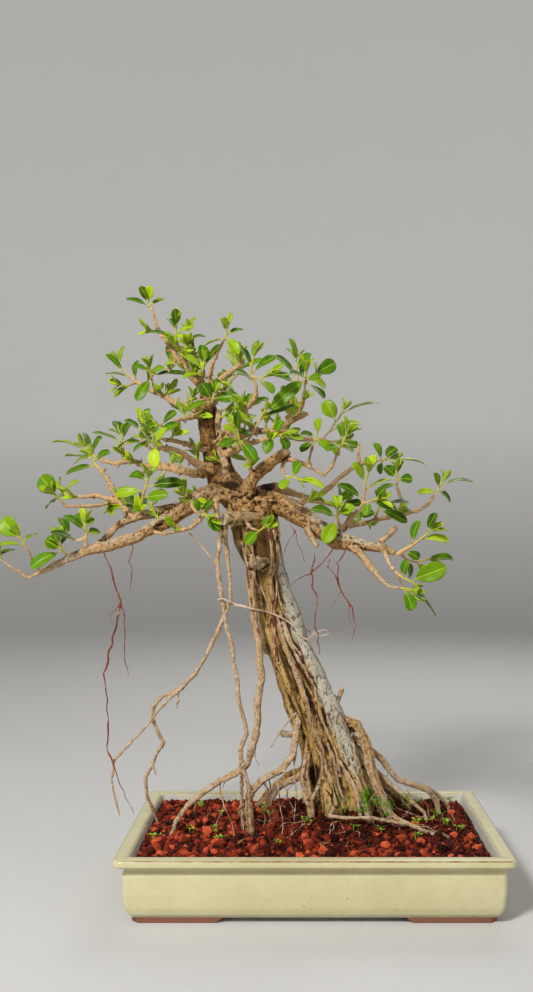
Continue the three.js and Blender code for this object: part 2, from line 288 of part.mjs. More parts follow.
// Leafy shoots, each named after the twig whose end it grows from. A stem runs on through its points
// [across, down, depth] to a pointed bud. A leaf is [across, down of its tip, depth of the tip past its base,
// blade width, facing]: facing 0 turns the upper face to the front, 90 turns it up. Leaves follow one another
// up the stem. "more" adds leaves in the species' spiral.
const SHOOTS = {
  left_limb: { stem: [[0, 557, -54]], leaves: [[2, 543, -8, 12, 55], [14, 549, 12, 11, 60]], more: 1 },
  left_tip_twig: {
    stem: [[24, 543, -60], [21, 537, -62]],
    leaves: [[2, 545, -8, 13, 70], [38, 533, 10, 10, 65], [4, 519, 2, 20, 4]],
  },
  left_under_spur: {
    stem: [[62, 551, -50], [60, 546, -52]],
    leaves: [[32, 568, -8, 15, 35], [47, 541, -4, 20, 3], [70, 536, 10, 10, 60]],
  },
  left_top_spur: {
    stem: [[86, 534, -43], [85, 528, -45]],
    leaves: [[98, 532, 8, 11, 50], [64, 516, -8, 13, 60], [79, 514, 2, 17, 8], [92, 519, 6, 9, 50]],
    sides: [{
      from: 0,
      stem: [[77, 541, -40], [67, 537, -36]],
      leaves: [[50, 533, -2, 10, 60], [60, 519, 8, 12, 55]],
    }],
  },
  left_low_twig: { stem: [[57, 498, -34]], leaves: [[46, 508, 6, 9, 70], [41, 478, -6, 20, 2]] },
  left_up_branch: {
    stem: [[66, 492, 15], [63, 489, 17]],
    leaves: [[54, 500, 10, 11, 80], [78, 481, -6, 11, 65], [52, 484, 6, 11, 80]],
  },
  left_rear_twig: {
    stem: [[95, 463, 26], [93, 458, 28]],
    leaves: [[66, 474, 10, 13, 60], [109, 452, -8, 12, 50], [66, 455, 6, 14, 80]],
  },
  middle_left_branch: {
    stem: [[91, 453, 101], [87, 449, 103]],
    leaves: [[74, 464, 12, 13, 65], [100, 438, -10, 12, 55], [52, 442, 6, 14, 82], [84, 434, 8, 11, 60]],
  },
  middle_left_spur: {
    stem: [[121, 443, 90], [120, 438, 92]],
    leaves: [[140, 442, 10, 11, 60], [92, 434, 4, 14, 80], [131, 423, -8, 13, 50], [116, 421, 8, 12, 60]],
  },
  middle_left_riser: {
    stem: [[141, 434, 38], [141, 429, 36]],
    leaves: [[118, 449, 2, 14, 82], [158, 424, -8, 17, 18], [126, 420, 4, 14, 70], [150, 410, -4, 12, 60]],
  },
  left_mid_twig: {
    stem: [[142, 497, -18], [145, 489, -22], [147, 480, -26]],
    leaves: [[167, 496, -10, 12, 20], [117, 494, 4, 13, 25], [184, 483, -6, 13, 15], [130, 475, 6, 11, 55]],
  },
  left_inner_twig: {
    stem: [[202, 513, -40], [206, 515, -43]],
    leaves: [[193, 501, -8, 9, 50], [214, 502, -6, 9, 45], [219, 529, -6, 11, 10]],
  },
  front_left_branch: {
    stem: [[154, 446, -57], [150, 443, -60]],
    leaves: [[153, 466, -6, 13, 12], [167, 428, -8, 13, 40], [133, 452, 4, 12, 65], [141, 430, -6, 12, 50]],
  },
  front_left_upper: {
    stem: [[158, 436, -39], [154, 434, -41]],
    leaves: [[176, 424, -4, 12, 50], [146, 447, 6, 12, 70], [139, 423, -4, 12, 60]],
  },
  orange_twig: {
    stem: [[161, 426, -35], [157, 424, -37]],
    leaves: [[176, 412, -8, 11, 55], [150, 436, -6, 10, 60], [142, 415, -4, 11, 60]],
  },
  upper_left_branch: {
    stem: [[138, 383, 66], [130, 377, 71], [124, 370, 76], [119, 363, 80]],
    leaves: [[137, 361, -8, 11, 55], [106, 374, 6, 10, 75], [106, 354, 4, 9, 70], [124, 346, 2, 10, 50]],
    sides: [{
      from: 1,
      stem: [[127, 387, 56], [121, 386, 52]],
      leaves: [[114, 397, -6, 8, 40], [110, 380, -4, 10, 60]],
    }],
  },
  upper_left_spur: {
    stem: [[150, 377, 41], [149, 372, 39]],
    leaves: [[137, 400, -10, 13, 15], [188, 375, -12, 14, 55], [134, 366, 4, 10, 60], [153, 354, -4, 11, 55]],
  },
  top_front_spur: {
    stem: [[213, 401, -14], [214, 398, -16]],
    leaves: [[190, 411, -8, 11, 55], [201, 385, -6, 15, 10], [235, 396, -6, 15, 14], [216, 378, 4, 11, 60]],
  },
  apex_branch: {
    stem: [[177, 335, -8], [177, 331, -9]],
    leaves: [[151, 333, -4, 13, 68], [194, 327, -4, 11, 55], [168, 319, 6, 10, 60], [174, 309, -6, 13, 40]],
  },
  apex_tip: {
    stem: [[150, 307, 18], [149, 303, 19]],
    leaves: [[127, 299, -5, 12, 60], [163, 299, 6, 9, 50], [140, 288, 2, 11, 30], [152, 287, -5, 11, 30]],
  },
  apex_side: {
    stem: [[168, 367, 26], [169, 362, 28]],
    leaves: [[152, 371, 8, 11, 55], [175, 341, -2, 17, 10]],
  },
  apex_rear_twig: {
    stem: [[187, 338, 39], [187, 334, 40]],
    leaves: [[204, 337, 8, 11, 55], [172, 338, 12, 11, 55], [196, 317, 2, 11, 50]],
  },
  apex_mid_spur: {
    stem: [[202, 371, -8], [203, 367, -10]],
    leaves: [[183, 378, -8, 11, 50], [181, 352, 0, 13, 62], [221, 345, -8, 13, 60], [202, 345, -4, 11, 45]],
  },
  apex_front_twig: {
    stem: [[226, 338, -36], [227, 334, -38]],
    leaves: [[205, 346, 4, 12, 78], [239, 353, -8, 12, 15], [243, 331, 2, 12, 60], [222, 318, -2, 11, 55]],
  },
  crown_right_riser: {
    stem: [[253, 377, -47], [252, 367, -50], [254, 357, -53]],
    leaves: [[237, 370, -10, 11, 55], [276, 357, -4, 12, 55], [242, 348, 4, 10, 60], [259, 341, -4, 9, 50]],
    sides: [{
      from: 1,
      stem: [[262, 379, -50], [267, 375, -54]],
      leaves: [[272, 391, -8, 12, 40], [288, 374, -4, 13, 70]],
    }],
  },
  crown_riser_left: {
    stem: [[297, 386, 58], [298, 371, 61], [298, 360, 63]],
    leaves: [[282, 389, -6, 11, 60], [270, 372, -8, 13, 55], [276, 356, 4, 13, 58], [311, 354, -8, 12, 50],
      [291, 339, 4, 12, 55]],
    sides: [{
      from: 1,
      stem: [[306, 380, 66], [315, 374, 74]],
      leaves: [[307, 361, 8, 11, 60], [325, 387, 8, 12, 50], [335, 364, 4, 17, 4]],
    }],
  },
  crown_riser_right: {
    stem: [[306, 380, 24], [306, 376, 22]],
    leaves: [[324, 399, -6, 12, 65], [320, 376, -8, 12, 50], [290, 372, -6, 12, 60], [309, 358, -2, 11, 55]],
  },
  big_leaf_spur: {
    stem: [[252, 434, -26], [258, 423, -30], [264, 412, -33]],
    leaves: [[243, 434, -8, 12, 45], [236, 415, -6, 12, 60], [296, 406, 6, 14, 62], [300, 384, -6, 17, 10]],
  },
  crown_back_branch: {
    stem: [[323, 439, 74], [332, 441, 80], [341, 440, 85]],
    leaves: [[338, 456, -8, 11, 40], [353, 451, 4, 12, 50], [362, 428, 6, 13, 78]],
    sides: [{
      from: 1,
      stem: [[329, 431, 80], [337, 419, 90], [341, 411, 94]],
      leaves: [[359, 422, 10, 12, 60], [325, 402, 2, 18, 4], [378, 404, 4, 14, 82]],
    }],
  },
  crown_front_branch: {
    stem: [[275, 436, -42], [279, 435, -45]],
    leaves: [[265, 452, -8, 12, 30], [283, 420, -4, 12, 50], [303, 440, -4, 13, 55], [287, 449, -10, 11, 40]],
  },
  right_arm_twig: {
    stem: [[239, 441, -34], [238, 436, -36]],
    leaves: [[255, 460, -8, 11, 25], [222, 447, -4, 12, 55], [224, 427, -4, 11, 50], [240, 413, 0, 11, 40]],
  },
  right_arm_riser: {
    stem: [[314, 442, -22], [315, 438, -21]],
    leaves: [[301, 452, -8, 11, 40], [329, 448, -6, 12, 50], [301, 433, 2, 11, 60], [320, 419, 4, 11, 55]],
  },
  right_arm_low: {
    stem: [[342, 443, -58], [344, 439, -60]],
    leaves: [[326, 449, -6, 12, 50], [357, 447, -6, 12, 50], [337, 425, 4, 12, 50], [357, 427, -4, 11, 50]],
  },
  right_arm_under: {
    stem: [[290, 477, -45], [295, 478, -48]],
    leaves: [[281, 489, -6, 11, 40], [300, 463, -6, 12, 45], [323, 488, -4, 14, 62]],
  },
  right_high_branch: {
    stem: [[381, 460, 67], [385, 459, 69]],
    leaves: [[376, 443, -4, 11, 50], [380, 474, 8, 11, 50], [397, 447, 4, 13, 38], [424, 464, 2, 14, 82]],
  },
  right_near_riser: {
    stem: [[364, 496, -38], [365, 482, -46], [367, 473, -51]],
    leaves: [[338, 485, -2, 12, 45], [391, 479, -4, 13, 80], [352, 463, -4, 11, 50], [373, 455, -2, 11, 45]],
    sides: [{
      from: 0,
      stem: [[370, 501, -44], [377, 499, -52]],
      leaves: [[366, 514, -8, 10, 30], [391, 508, -4, 11, 40], [385, 488, -4, 11, 40]],
    }],
  },
  right_near_spur: {
    stem: [[337, 519, -30], [337, 515, -33]],
    leaves: [[325, 541, -10, 16, 5], [312, 509, -6, 14, 48], [353, 506, -4, 12, 45], [335, 498, -2, 11, 50]],
  },
  right_far_spur: {
    stem: [[377, 512, 5], [378, 509, 3]],
    leaves: [[361, 516, -6, 11, 35], [407, 521, -6, 13, 40], [409, 503, 2, 12, 80], [377, 491, -2, 11, 50]],
  },
  right_far_riser: {
    stem: [[397, 482, 22], [397, 478, 21]],
    leaves: [[379, 490, -6, 11, 55], [412, 480, -4, 12, 40], [385, 466, 2, 13, 30], [402, 461, 4, 11, 50]],
  },
  right_far_branch: {
    stem: [[437, 491, 57], [439, 487, 58]],
    leaves: [[418, 492, -6, 11, 50], [451, 502, 6, 12, 55], [434, 473, -4, 10, 50], [473, 481, 4, 14, 80]],
  },
  right_low_fork: { stem: [[404, 589, -64]], leaves: [[412, 610, -6, 13, 12], [424, 597, 4, 12, 60]] },
  right_drop_twig: {
    stem: [[403, 577, -51], [411, 583, -58]],
    leaves: [[408, 562, -8, 11, 50], [445, 567, -8, 20, 6]],
    sides: [{
      from: 0,
      stem: [[400, 583, -40], [409, 593, -36]],
      leaves: [[436, 616, 4, 14, 78]],
    }],
  },
  right_limb: {
    stem: [[405, 549, -38], [415, 543, -42], [424, 537, -45], [430, 532, -47]],
    leaves: [[419, 558, -4, 11, 35], [419, 522, -4, 11, 50], [449, 541, 2, 12, 55], [436, 514, -4, 11, 50]],
    sides: [{
      from: 0,
      stem: [[406, 559, -28], [416, 562, -22], [428, 560, -15]],
      leaves: [[410, 577, 8, 11, 50], [425, 575, 4, 11, 50], [452, 559, 4, 12, 60]],
    }],
  },
  front_short_twig: { stem: [[262, 530, -42]], leaves: [[245, 544, -8, 12, 10], [272, 517, -2, 11, 25]] },
  rear_low_limb: { stem: [[336, 506, 117], [342, 504, 122]], leaves: [], more: 5 },
  rear_low_side: { stem: [[255, 508, 110], [252, 508, 116]], leaves: [], more: 5 },
  rear_left_limb: { stem: [[140, 511, 116], [134, 509, 120]], leaves: [], more: 5 },
  rear_upper_branch: { stem: [[241, 414, 81], [243, 408, 85]], leaves: [], more: 5 },
  rear_top_branch: { stem: [[235, 378, 66], [237, 373, 69]], leaves: [], more: 5 },
};
const SPURS = {
  top_front_spur: [[208, 408, 4, 3], [211, 404, -8, 1.5]],
  apex_mid_spur: [[198, 384, 6, 2.4], [201, 376, -3, 1.4]],
  big_leaf_spur: [[242, 449, -12, 2.4], [247, 441, -21, 1.5]],
  right_far_spur: [[374, 521, 17, 2], [376, 515, 9, 1.4]],
};
// Thinning of joined skins: how far a skin may move, the smallest face normal, and the most a face may turn.
const THIN = { slack: 0.25, smallest: 0.02, turn: 0.5 };
const LEAF = {
  thick: 0.7,
  stalkShare: 0.16,
  arch: 0.07,
  // Blade outline from the stalk to the tip: [share of the length, share of the half width].
  outline: [[0, 0.16], [0.34, 0.84], [0.74, 0.92], [1, 0.28]],
  smallOutline: [[0, 0.18], [0.5, 1], [1, 0.42]],
  small: 13,
  // Leaves of the spiral.
  spiral: THREE.MathUtils.degToRad(137.5),
  spiralStep: 0.4,
  spiralTries: 8,
  spiralFacing: 60,
  spread: THREE.MathUtils.degToRad(58),
  ratio: 0.56,
  firstShare: 0.8,
  length: 21,
  lengthRange: 8,
};
// Stem: sides, how much thinner it starts than its twig, radius at the last leaf, pointed bud and its tip,
// straight lead off the twig, half the stretch that a leaf takes, least bare stretch between two, and a side
// stem's share of the radius.
const STEM = {
  sides: 4,
  thinner: 0.1,
  tip: 0.9,
  bud: 6.5,
  budTip: 0.3,
  lead: 2,
  half: 1.5,
  least: 1,
  sideShare: 0.8,
};

const UP = new THREE.Vector3(0, 0, 1);
const TO_EYE = new THREE.Vector3(0, -1, 0);

// A repeatable fraction between 0 and 1 for the numbered item of a kind.
function chance(item, kind = 0) {
  const wave = Math.sin(item * 127.1 + kind * 311.7 + 17.3) * 43758.5453;
  return wave - Math.floor(wave);
}

// The place in the tray's frame of a point on the sheet.
function place([across, down, depth]) {
  const spread = 1 + depth / EYE.distance;
  return new THREE.Vector3(
    EYE.x + (across - EYE.across) * spread,
    SHEET_Y + depth,
    EYE.z - (down - EYE.down) * spread,
  );
}

// A closed skin over rings of points that run counterclockwise seen from the far end.
function skin(rings, capFaces) {
  const count = rings[0].length;
  const fan = Array.from({ length: count - 2 }, (_, i) => [0, i + 1, i + 2]);
  const caps = capFaces ?? fan;
  const faces = [];
  rings.slice(1).forEach((ring, r) => {
    for (let i = 0; i < count; i += 1) {
      const next = (i + 1) % count;
      const low = r * count;
      const high = low + count;
      faces.push([low + i, low + next, high + next], [low + i, high + next, high + i]);
    }
  });
  const last = (rings.length - 1) * count;
  caps.forEach(([a, b, c]) => {
    faces.push([a, c, b], [last + a, last + b, last + c]);
  });
  const geometry = new THREE.BufferGeometry().setFromPoints(rings.flat());
  geometry.setIndex(faces.flat());
  return geometry;
}

function solidOf(geometry) {
  const merged = mergeVertices(geometry, 1e-4);
  const vertProperties = merged.attributes.position.array;
  const triVerts = new Uint32Array(merged.index.array);
  return new wasm.Manifold(new wasm.Mesh({ numProp: 3, vertProperties, triVerts }));
}

function geometryOf(solid) {
  const { vertProperties, triVerts } = solid.getMesh();
  const geometry = new THREE.BufferGeometry();
  geometry.setAttribute("position", new THREE.BufferAttribute(vertProperties, 3));
  geometry.setIndex(new THREE.BufferAttribute(triVerts, 1));
  geometry.computeVertexNormals();
  return geometry;
}

// A closed skin with fewer corners: one corner after another is drawn onto its neighbour, wherever the skin
// then moves by less than the slack, stays closed and turns no face over.
function thinned(geometry, slack) {
  const corners = geometry.attributes.position;
  const at = (corner) => new THREE.Vector3().fromBufferAttribute(corners, corner);
  const index = Array.from(geometry.index.array);
  const faces = new Set(Array.from({ length: index.length / 3 }, (_, i) => index.slice(3 * i, 3 * i + 3)));
  const facesOf = Array.from({ length: corners.count }, () => new Set());
  faces.forEach((face) => face.forEach((corner) => facesOf[corner].add(face)));
  const neighbours = (corner) => {
    const found = new Set([...facesOf[corner]].flat());
    found.delete(corner);
    return found;
  };
  const normalOf = ([a, b, c]) => at(b).sub(at(a)).cross(at(c).sub(at(a)));
  // Whether a corner can be drawn onto another one.
  const canDraw = (from, to) => {
    const around = neighbours(to);
    if ([...neighbours(from)].filter((corner) => around.has(corner)).length !== 2) return false;
    return [...facesOf[from]].every((face) => {
      const normal = normalOf(face);
      const away = Math.abs(at(to).sub(at(from)).dot(normal)) / Math.max(normal.length(), THIN.smallest);
      if (face.includes(to)) return true;
      const turned = normalOf(face.map((corner) => (corner === from ? to : corner)));
      const kept = turned.dot(normal) > THIN.turn * turned.length() * normal.length();
      return away < slack && (kept || normal.length() < THIN.smallest) && turned.length() > THIN.smallest;
    });
  };
  const draw = (from, to) => {
    [...facesOf[from]].forEach((face) => {
      if (face.includes(to)) {
        faces.delete(face);
        face.forEach((corner) => facesOf[corner].delete(face));
      } else {
        face[face.indexOf(from)] = to;
        facesOf[to].add(face);
      }
    });
    facesOf[from].clear();
  };
  let drawn = true;
  while (drawn) {
    drawn = false;
    for (let from = 0; from < corners.count; from += 1) {
      const away = (corner) => at(corner).distanceTo(at(from));
      const nearest = [...neighbours(from)].sort((a, b) => away(a) - away(b));
      const to = nearest.find((corner) => canDraw(from, corner));
      if (to !== undefined) {
        draw(from, to);
        drawn = true;
      }
    }
  }
  const thin = new THREE.BufferGeometry().setAttribute("position", corners.clone());
  thin.setIndex([...faces].flat());
  thin.computeVertexNormals();
  return thin;
}

const join = (solids) => solids.reduce((whole, solid) => whole.add(solid));
const joined = (solids) => thinned(geometryOf(join(solids)), THIN.slack);

// How much wider a ring's corners lie than a circle of the same area.
const fullness = (sides) => Math.sqrt((2 * Math.PI) / (sides * Math.sin((2 * Math.PI) / sides)));

// Rings round a path given as stations of point, direction and radius, without twist.
function ringsRound(stations, sides, roughness = 0, kind = 0) {
  const side = Math.abs(stations[0].along.y) < 0.9 ? new THREE.Vector3(0, 1, 0) : new THREE.Vector3(1, 0, 0);
  return stations.map(({ point, along, radius }, i) => {
    side.addScaledVector(along, -side.dot(along)).normalize();
    const other = along.clone().cross(side);
    return Array.from({ length: sides }, (_, corner) => {
      const angle = (corner / sides) * 2 * Math.PI;
      const reach = radius * fullness(sides) * (1 + roughness * (2 * chance(i * sides + corner, kind) - 1));
      return point
        .clone()
        .addScaledVector(side, reach * Math.cos(angle))
        .addScaledVector(other, reach * Math.sin(angle));
    });
  });
}

// A round tapered tube through points, each with its own radius, with flat ends square to it.
function tube(points, radii, sides, roughness = 0, kind = 0) {
  const stations = points.map((point, i) => {
    const before = i > 0 ? point.clone().sub(points[i - 1]).normalize() : new THREE.Vector3();
    const after = i < points.length - 1 ? points[i + 1].clone().sub(point).normalize() : new THREE.Vector3();
    return { point, along: before.add(after).normalize(), radius: radii[i] };
  });
  return skin(ringsRound(stations, sides, roughness, kind));
}

const sidesFor = (radius) => [1.3, 3, 6, 9].filter((limit) => radius > limit).length + 3;

// A woody piece through [across, down, depth, radius], grown all round and at its far end by "extra".
function limb(path, kind, extra = 0) {
  const points = path.map(place);
  const radii = path.map(([, , depth, radius]) => radius * (1 + depth / EYE.distance) + extra);
  const roughness = radii[0] > BARK.roughFrom ? BARK.wobble : 0;
  if (extra > 0) {
    const [before, end] = points.slice(-2);
    end.add(end.clone().sub(before).setLength(extra));
  }
  return solidOf(tube(points, radii, sidesFor(Math.max(...radii) - extra), roughness, kind));
}

// The values of the rows of a table at a height of the sheet, which is each row's second value.
function rowAt(rows, down) {
  const next = rows.findIndex(([, level]) => level > down);
  const [from, to] = next < 0 ? rows.slice(-2) : rows.slice(Math.max(0, next - 1), Math.max(2, next + 1));
  const share = THREE.MathUtils.clamp((down - from[1]) / (to[1] - from[1]), 0, 1);
  return from.map((value, i) => THREE.MathUtils.lerp(value, to[i], share));
}

// The depth of the core's skin at a point of the sheet, in front (-1) or behind (1).
function skinDepth(across, down, facing) {
  const [centre, , depth, halfWidth, halfDepth] = rowAt(CORE, down);
  const offset = Math.min(0.96, Math.abs(across - centre) / halfWidth);
  return depth + facing * halfDepth * Math.sqrt(1 - offset * offset);
}

// How far a strand's round section reaches from the core's centre in a direction, at a height of the sheet.
function strandReach(strand, facing, down, way) {
  if (down < strand[0][1] || down > strand.at(-1)[1]) return 0;
  const [across, , radius] = rowAt(strand, down);
  const [centre, , depth] = rowAt(CORE, down);
  const middle = new THREE.Vector2(across - centre, skinDepth(across, down, facing) - depth);
  const along = middle.dot(way);
  const inside = radius * radius - middle.lengthSq() + along * along;
  return inside > 0 ? along + Math.sqrt(inside) : 0;
}

// The trunk: lobed oval sections, one under another, with the strands raised from them.
function trunkCore(extra = 0) {
  const strands = [FRONT_STRANDS, BACK_STRANDS].flatMap((strandsOfSide, side) =>
    Object.values(strandsOfSide).map((strand) => ({ strand, facing: side ? 1 : -1 })));
  const rings = Array.from({ length: BARK.levels }, (_, level) => {
    const down = THREE.MathUtils.lerp(BARK.top, BARK.bottom, level / (BARK.levels - 1));
    const [across, , depth, halfWidth, halfDepth] = rowAt(CORE, down);
    const centre = place([across, down, depth]);
    return Array.from({ length: BARK.corners }, (__, corner) => {
      const turn = (-corner / BARK.corners) * 2 * Math.PI;
      const angle = Math.PI / 2 + turn + BARK.crowding * Math.sin(turn);
      const way = new THREE.Vector2(Math.cos(angle), Math.sin(angle));
      const lobe = 1 + BARK.lobeRise * Math.cos(BARK.lobes * angle + BARK.lobeTurn * level);
      const oval = lobe / Math.hypot(way.x / halfWidth, way.y / halfDepth);
      const reaches = strands.map(({ strand, facing }) => strandReach(strand, facing, down, way));
      const reach = Math.max(oval, ...reaches) + extra;
      const low = level === BARK.levels - 1 ? extra : 0;
      return new THREE.Vector3(reach * way.x, reach * way.y, -low).add(centre);
    });
  });
  return solidOf(skin(rings));
}

const WOOD_PATHS = [
  ...Object.values(THIN_STRANDS).map((strand) =>
    strand.map(([across, down, radius]) => [across, down, skinDepth(across, down, -1) - radius, radius])),
  ...Object.values(WOOD),
  ...Object.values(SPURS),
  ...Object.values(FINE_ROOTS),
];

function makeWood() {
  return [trunkCore(), ...WOOD_PATHS.map((path, kind) => limb(path, kind))];
}

// Every woody piece that reaches the soil, a little fatter: what the soil leaves free.
function makeWoodInSoil() {
  const reachesSoil = ([, down]) => down > EYE.soilBelow;
  const paths = WOOD_PATHS.map((path, kind) => ({ path, kind })).filter(({ path }) => path.some(reachesSoil));
  const extra = GAP + THIN.slack;
  return join([trunkCore(extra), ...paths.map(({ path, kind }) => limb(path, kind, extra))]);
}

// The tray's outline at a height, set in from the rim's edge, counterclockwise from above.
function trayRing(inset, z) {
  const halfLength = TRAY.length / 2 - inset;
  const halfWidth = TRAY.width / 2 - inset;
  const radius = Math.max(TRAY.corner - inset, TRAY.innerCorner);
  const corners = [[1, 1], [-1, 1], [-1, -1], [1, -1]];
  return corners.flatMap(([sideX, sideY], quarter) =>
    Array.from({ length: TRAY.cornerSteps + 1 }, (_, step) => {
      const angle = (quarter + step / TRAY.cornerSteps) * (Math.PI / 2);
      return new THREE.Vector3(
        sideX * (halfLength - radius) + radius * Math.cos(angle),
        sideY * (halfWidth - radius) + radius * Math.sin(angle),
        z,
      );
    }),
  );
}

// An L-shaped foot under the corner on the given sides, its two ends sloped back towards the ground.
function trayFoot(sideX, sideY) {
  const x = TRAY.length / 2 - FOOT.inset;
  const y = TRAY.width / 2 - FOOT.inset;
  const outline = (z, shorten) => {
    const inX = x - FOOT.alongLength + shorten;
    const inY = y - FOOT.alongWidth + shorten;
    const points = [
      [x, inY], [x, y - FOOT.chamfer], [x - FOOT.chamfer, y], [inX, y], [inX, y - FOOT.thick],
      [x - FOOT.thick, y - FOOT.thick], [x - FOOT.thick, inY],
    ].map(([px, py]) => new THREE.Vector3(sideX * px, sideY * py, z));
    return sideX * sideY > 0 ? points : points.reverse();
  };
  const low = outline(0, FOOT.endSlope);
  const high = outline(TRAY.footHeight + FOOT.sink, 0);
  const flat = low.map(({ x: px, y: py }) => new THREE.Vector2(px, py));
  return solidOf(skin([low, high], THREE.ShapeUtils.triangulateShape(flat, [])));
}

// An upright round plug, for the drain holes.
function plug(x, radius, from, to) {
  const ring = (z) =>
    Array.from({ length: DRAIN.sides }, (_, corner) => {
      const angle = (corner / DRAIN.sides) * 2 * Math.PI;
      return new THREE.Vector3(x + radius * Math.cos(angle), radius * Math.sin(angle), z);
    });
  return solidOf(skin([ring(from), ring(to)]));
}

function makeTray() {
  const bowl = solidOf(skin(TRAY_PROFILE.map(([inset, z]) => trayRing(inset, z))));
  const feet = [[1, 1], [-1, 1], [-1, -1], [1, -1]].map(([sideX, sideY]) => trayFoot(sideX, sideY));
  const drains = [-DRAIN.x, DRAIN.x].map((x) => plug(x, DRAIN.radius, 0, TRAY.floor + 1));
  return drains.reduce((tray, drain) => tray.subtract(drain), join([bowl, ...feet]));
}

// A box round a centre, as a solid.
function block(length, width, height, x, y, z) {
  const box = new THREE.BoxGeometry(length, width, height).translate(x, y, z);
  box.deleteAttribute("normal");
  box.deleteAttribute("uv");
  return solidOf(box);
}

// A square plastic net over a drain hole.
function makeScreen(x) {
  const middle = TRAY.floor + GAP + SCREEN.thick / 2;
  const offsets = [-SCREEN.pitch / 2, SCREEN.pitch / 2];
  const holes = offsets.flatMap((alongX) =>
    offsets.map((alongY) => block(SCREEN.hole, SCREEN.hole, 2 * SCREEN.thick, x + alongX, alongY, middle)));
  const sheet = block(SCREEN.size, SCREEN.size, SCREEN.thick, x, 0, middle);
  return holes.reduce((net, hole) => net.subtract(hole), sheet);
}

// The soil's height: level, mounded round the trunk's foot, with the relief of the grit on it.
function soilHeight(x, y) {
  const away = Math.hypot(x - SOIL.moundX, y - SOIL.moundY) / SOIL.spread;
  const lean = -SOIL.lean * (x / TRAY.length);
  return SOIL.level + lean + SOIL.rise * Math.exp(-away * away);
}

function makeSoil(wood) {
  const columns = Math.round(TRAY.length / SOIL.grain);
  const rows = Math.round(TRAY.width / SOIL.grain);
  const points = [];
  const faces = [];
  const at = (column, row) => row * (columns + 1) + column;
  for (let row = 0; row <= rows; row += 1) {
    for (let column = 0; column <= columns; column += 1) {
      const item = at(column, row);
      const x = (column / columns - 0.5) * TRAY.length + SOIL.grain * SOIL.jitter * (chance(item, 1) - 0.5);
      const y = (row / rows - 0.5) * TRAY.width + SOIL.grain * SOIL.jitter * (chance(item, 2) - 0.5);
      points.push(new THREE.Vector3(x, y, soilHeight(x, y) + SOIL.roughness * (chance(item, 3) - 0.5)));
      if (column < columns && row < rows) {
        const [a, b, c, d] = [item, item + 1, at(column + 1, row + 1), at(column, row + 1)];
        faces.push([a, b, c], [a, c, d]);
      }
    }
  }
  const rim = [];
  for (let column = 0; column < columns; column += 1) rim.push(at(column, 0));
  for (let row = 0; row < rows; row += 1) rim.push(at(columns, row));
  for (let column = columns; column > 0; column -= 1) rim.push(at(column, rows));
  for (let row = rows; row > 0; row -= 1) rim.push(at(0, row));
  const base = points.length;
  rim.forEach((item) => points.push(points[item].clone().setZ(0)));
  rim.forEach((item, i) => {
    const next = (i + 1) % rim.length;
    faces.push([item, base + i, base + next], [item, base + next, rim[next]]);
    if (i > 0 && i < rim.length - 1) faces.push([base, base + next, base + i]);
  });
  const ground = new THREE.BufferGeometry().setFromPoints(points);
  ground.setIndex(faces.flat());
  const inside = TRAY_PROFILE.slice(-4).reverse();
  const wall = inside.map(([inset, z], i) => trayRing(inset + GAP, i ? z : z + GAP));
  const hollow = solidOf(skin([...wall, trayRing(inside.at(-1)[0] + GAP, SOIL.top)]));
  const cover = SCREEN.size + 4 * GAP;
  const height = 2 * (SCREEN.thick + 2 * GAP);
  const recess = [-DRAIN.x, DRAIN.x].map((x) => block(cover, cover, height, x, 0, TRAY.floor));
  return [wood, ...recess].reduce((bed, part) => bed.subtract(part), solidOf(ground).intersect(hollow));
}


// A cord or thin root through [across, down, depth, radius].
const cord = (path) => solidOf(tube(path.map(place), path.map(([, , , radius]) => radius), HANGING.sides));

// A hanging root: it leaves the bark above its first point squarely, a hair's gap off, and follows its path.
function hangingRoot(path, bark) {
  const points = path.map(place);
  const radii = path.map(([, , , radius]) => radius);
  const below = points[0].clone().addScaledVector(UP, -HANGING.seek);
  const [{ point, face }] = new THREE.Raycaster(below, UP).intersectObject(bark);
  const lead = [GAP, HANGING.lead].map((length) => point.clone().addScaledVector(face.normal, length));
  points.splice(0, 1, ...lead);
  radii.unshift(radii[0]);
  return solidOf(tube(points, radii, HANGING.sides));
}

const meet = (a, b) => [0, 1, 2].every((axis) => a.min[axis] <= b.max[axis] && b.min[axis] <= a.max[axis]);
const standing = [];
const stand = (solid) => standing.push({ solid, box: solid.boundingBox() });
const isClear = (solid, others = standing) => {
  const box = solid.boundingBox();
  return others.every((other) => !meet(box, other.box) || solid.intersect(other.solid).isEmpty());
};

// Rings of a leaf's blade, from the stalk's end to the tip. The midrib arches towards the upper face.
function bladeRings(foot, tip, width, facing, extra = 0) {
  const along = tip.clone().sub(foot);
  const length = along.length();
  along.normalize();
  const front = TO_EYE.clone().addScaledVector(along, -TO_EYE.dot(along)).normalize();
  const upward = along.clone().cross(front);
  if (upward.z < 0) upward.negate();
  const turn = THREE.MathUtils.degToRad(facing);
  const upper = front.multiplyScalar(Math.cos(turn)).addScaledVector(upward, Math.sin(turn));
  const across = along.clone().cross(upper);
  const outline = width < LEAF.small ? LEAF.smallOutline : LEAF.outline;
  return outline.map(([bladeShare, widthShare]) => {
    const past = bladeShare === 1 ? extra / length : 0;
    const share = LEAF.stalkShare + bladeShare * (1 - LEAF.stalkShare) + past;
    const middle = foot
      .clone()
      .addScaledVector(along, share * length)
      .addScaledVector(upper, LEAF.arch * length * 4 * share * (1 - share));
    const out = upper.clone().addScaledVector(along, -LEAF.arch * 4 * (1 - 2 * share)).normalize();
    const halfWidth = (width / 2) * widthShare + extra;
    const halfThick = LEAF.thick / 2 + extra;
    return [[-1, -1], [-1, 1], [1, 1], [1, -1]].map(([i, j]) =>
      middle.clone().addScaledVector(across, i * halfWidth).addScaledVector(out, j * halfThick));
  });
}

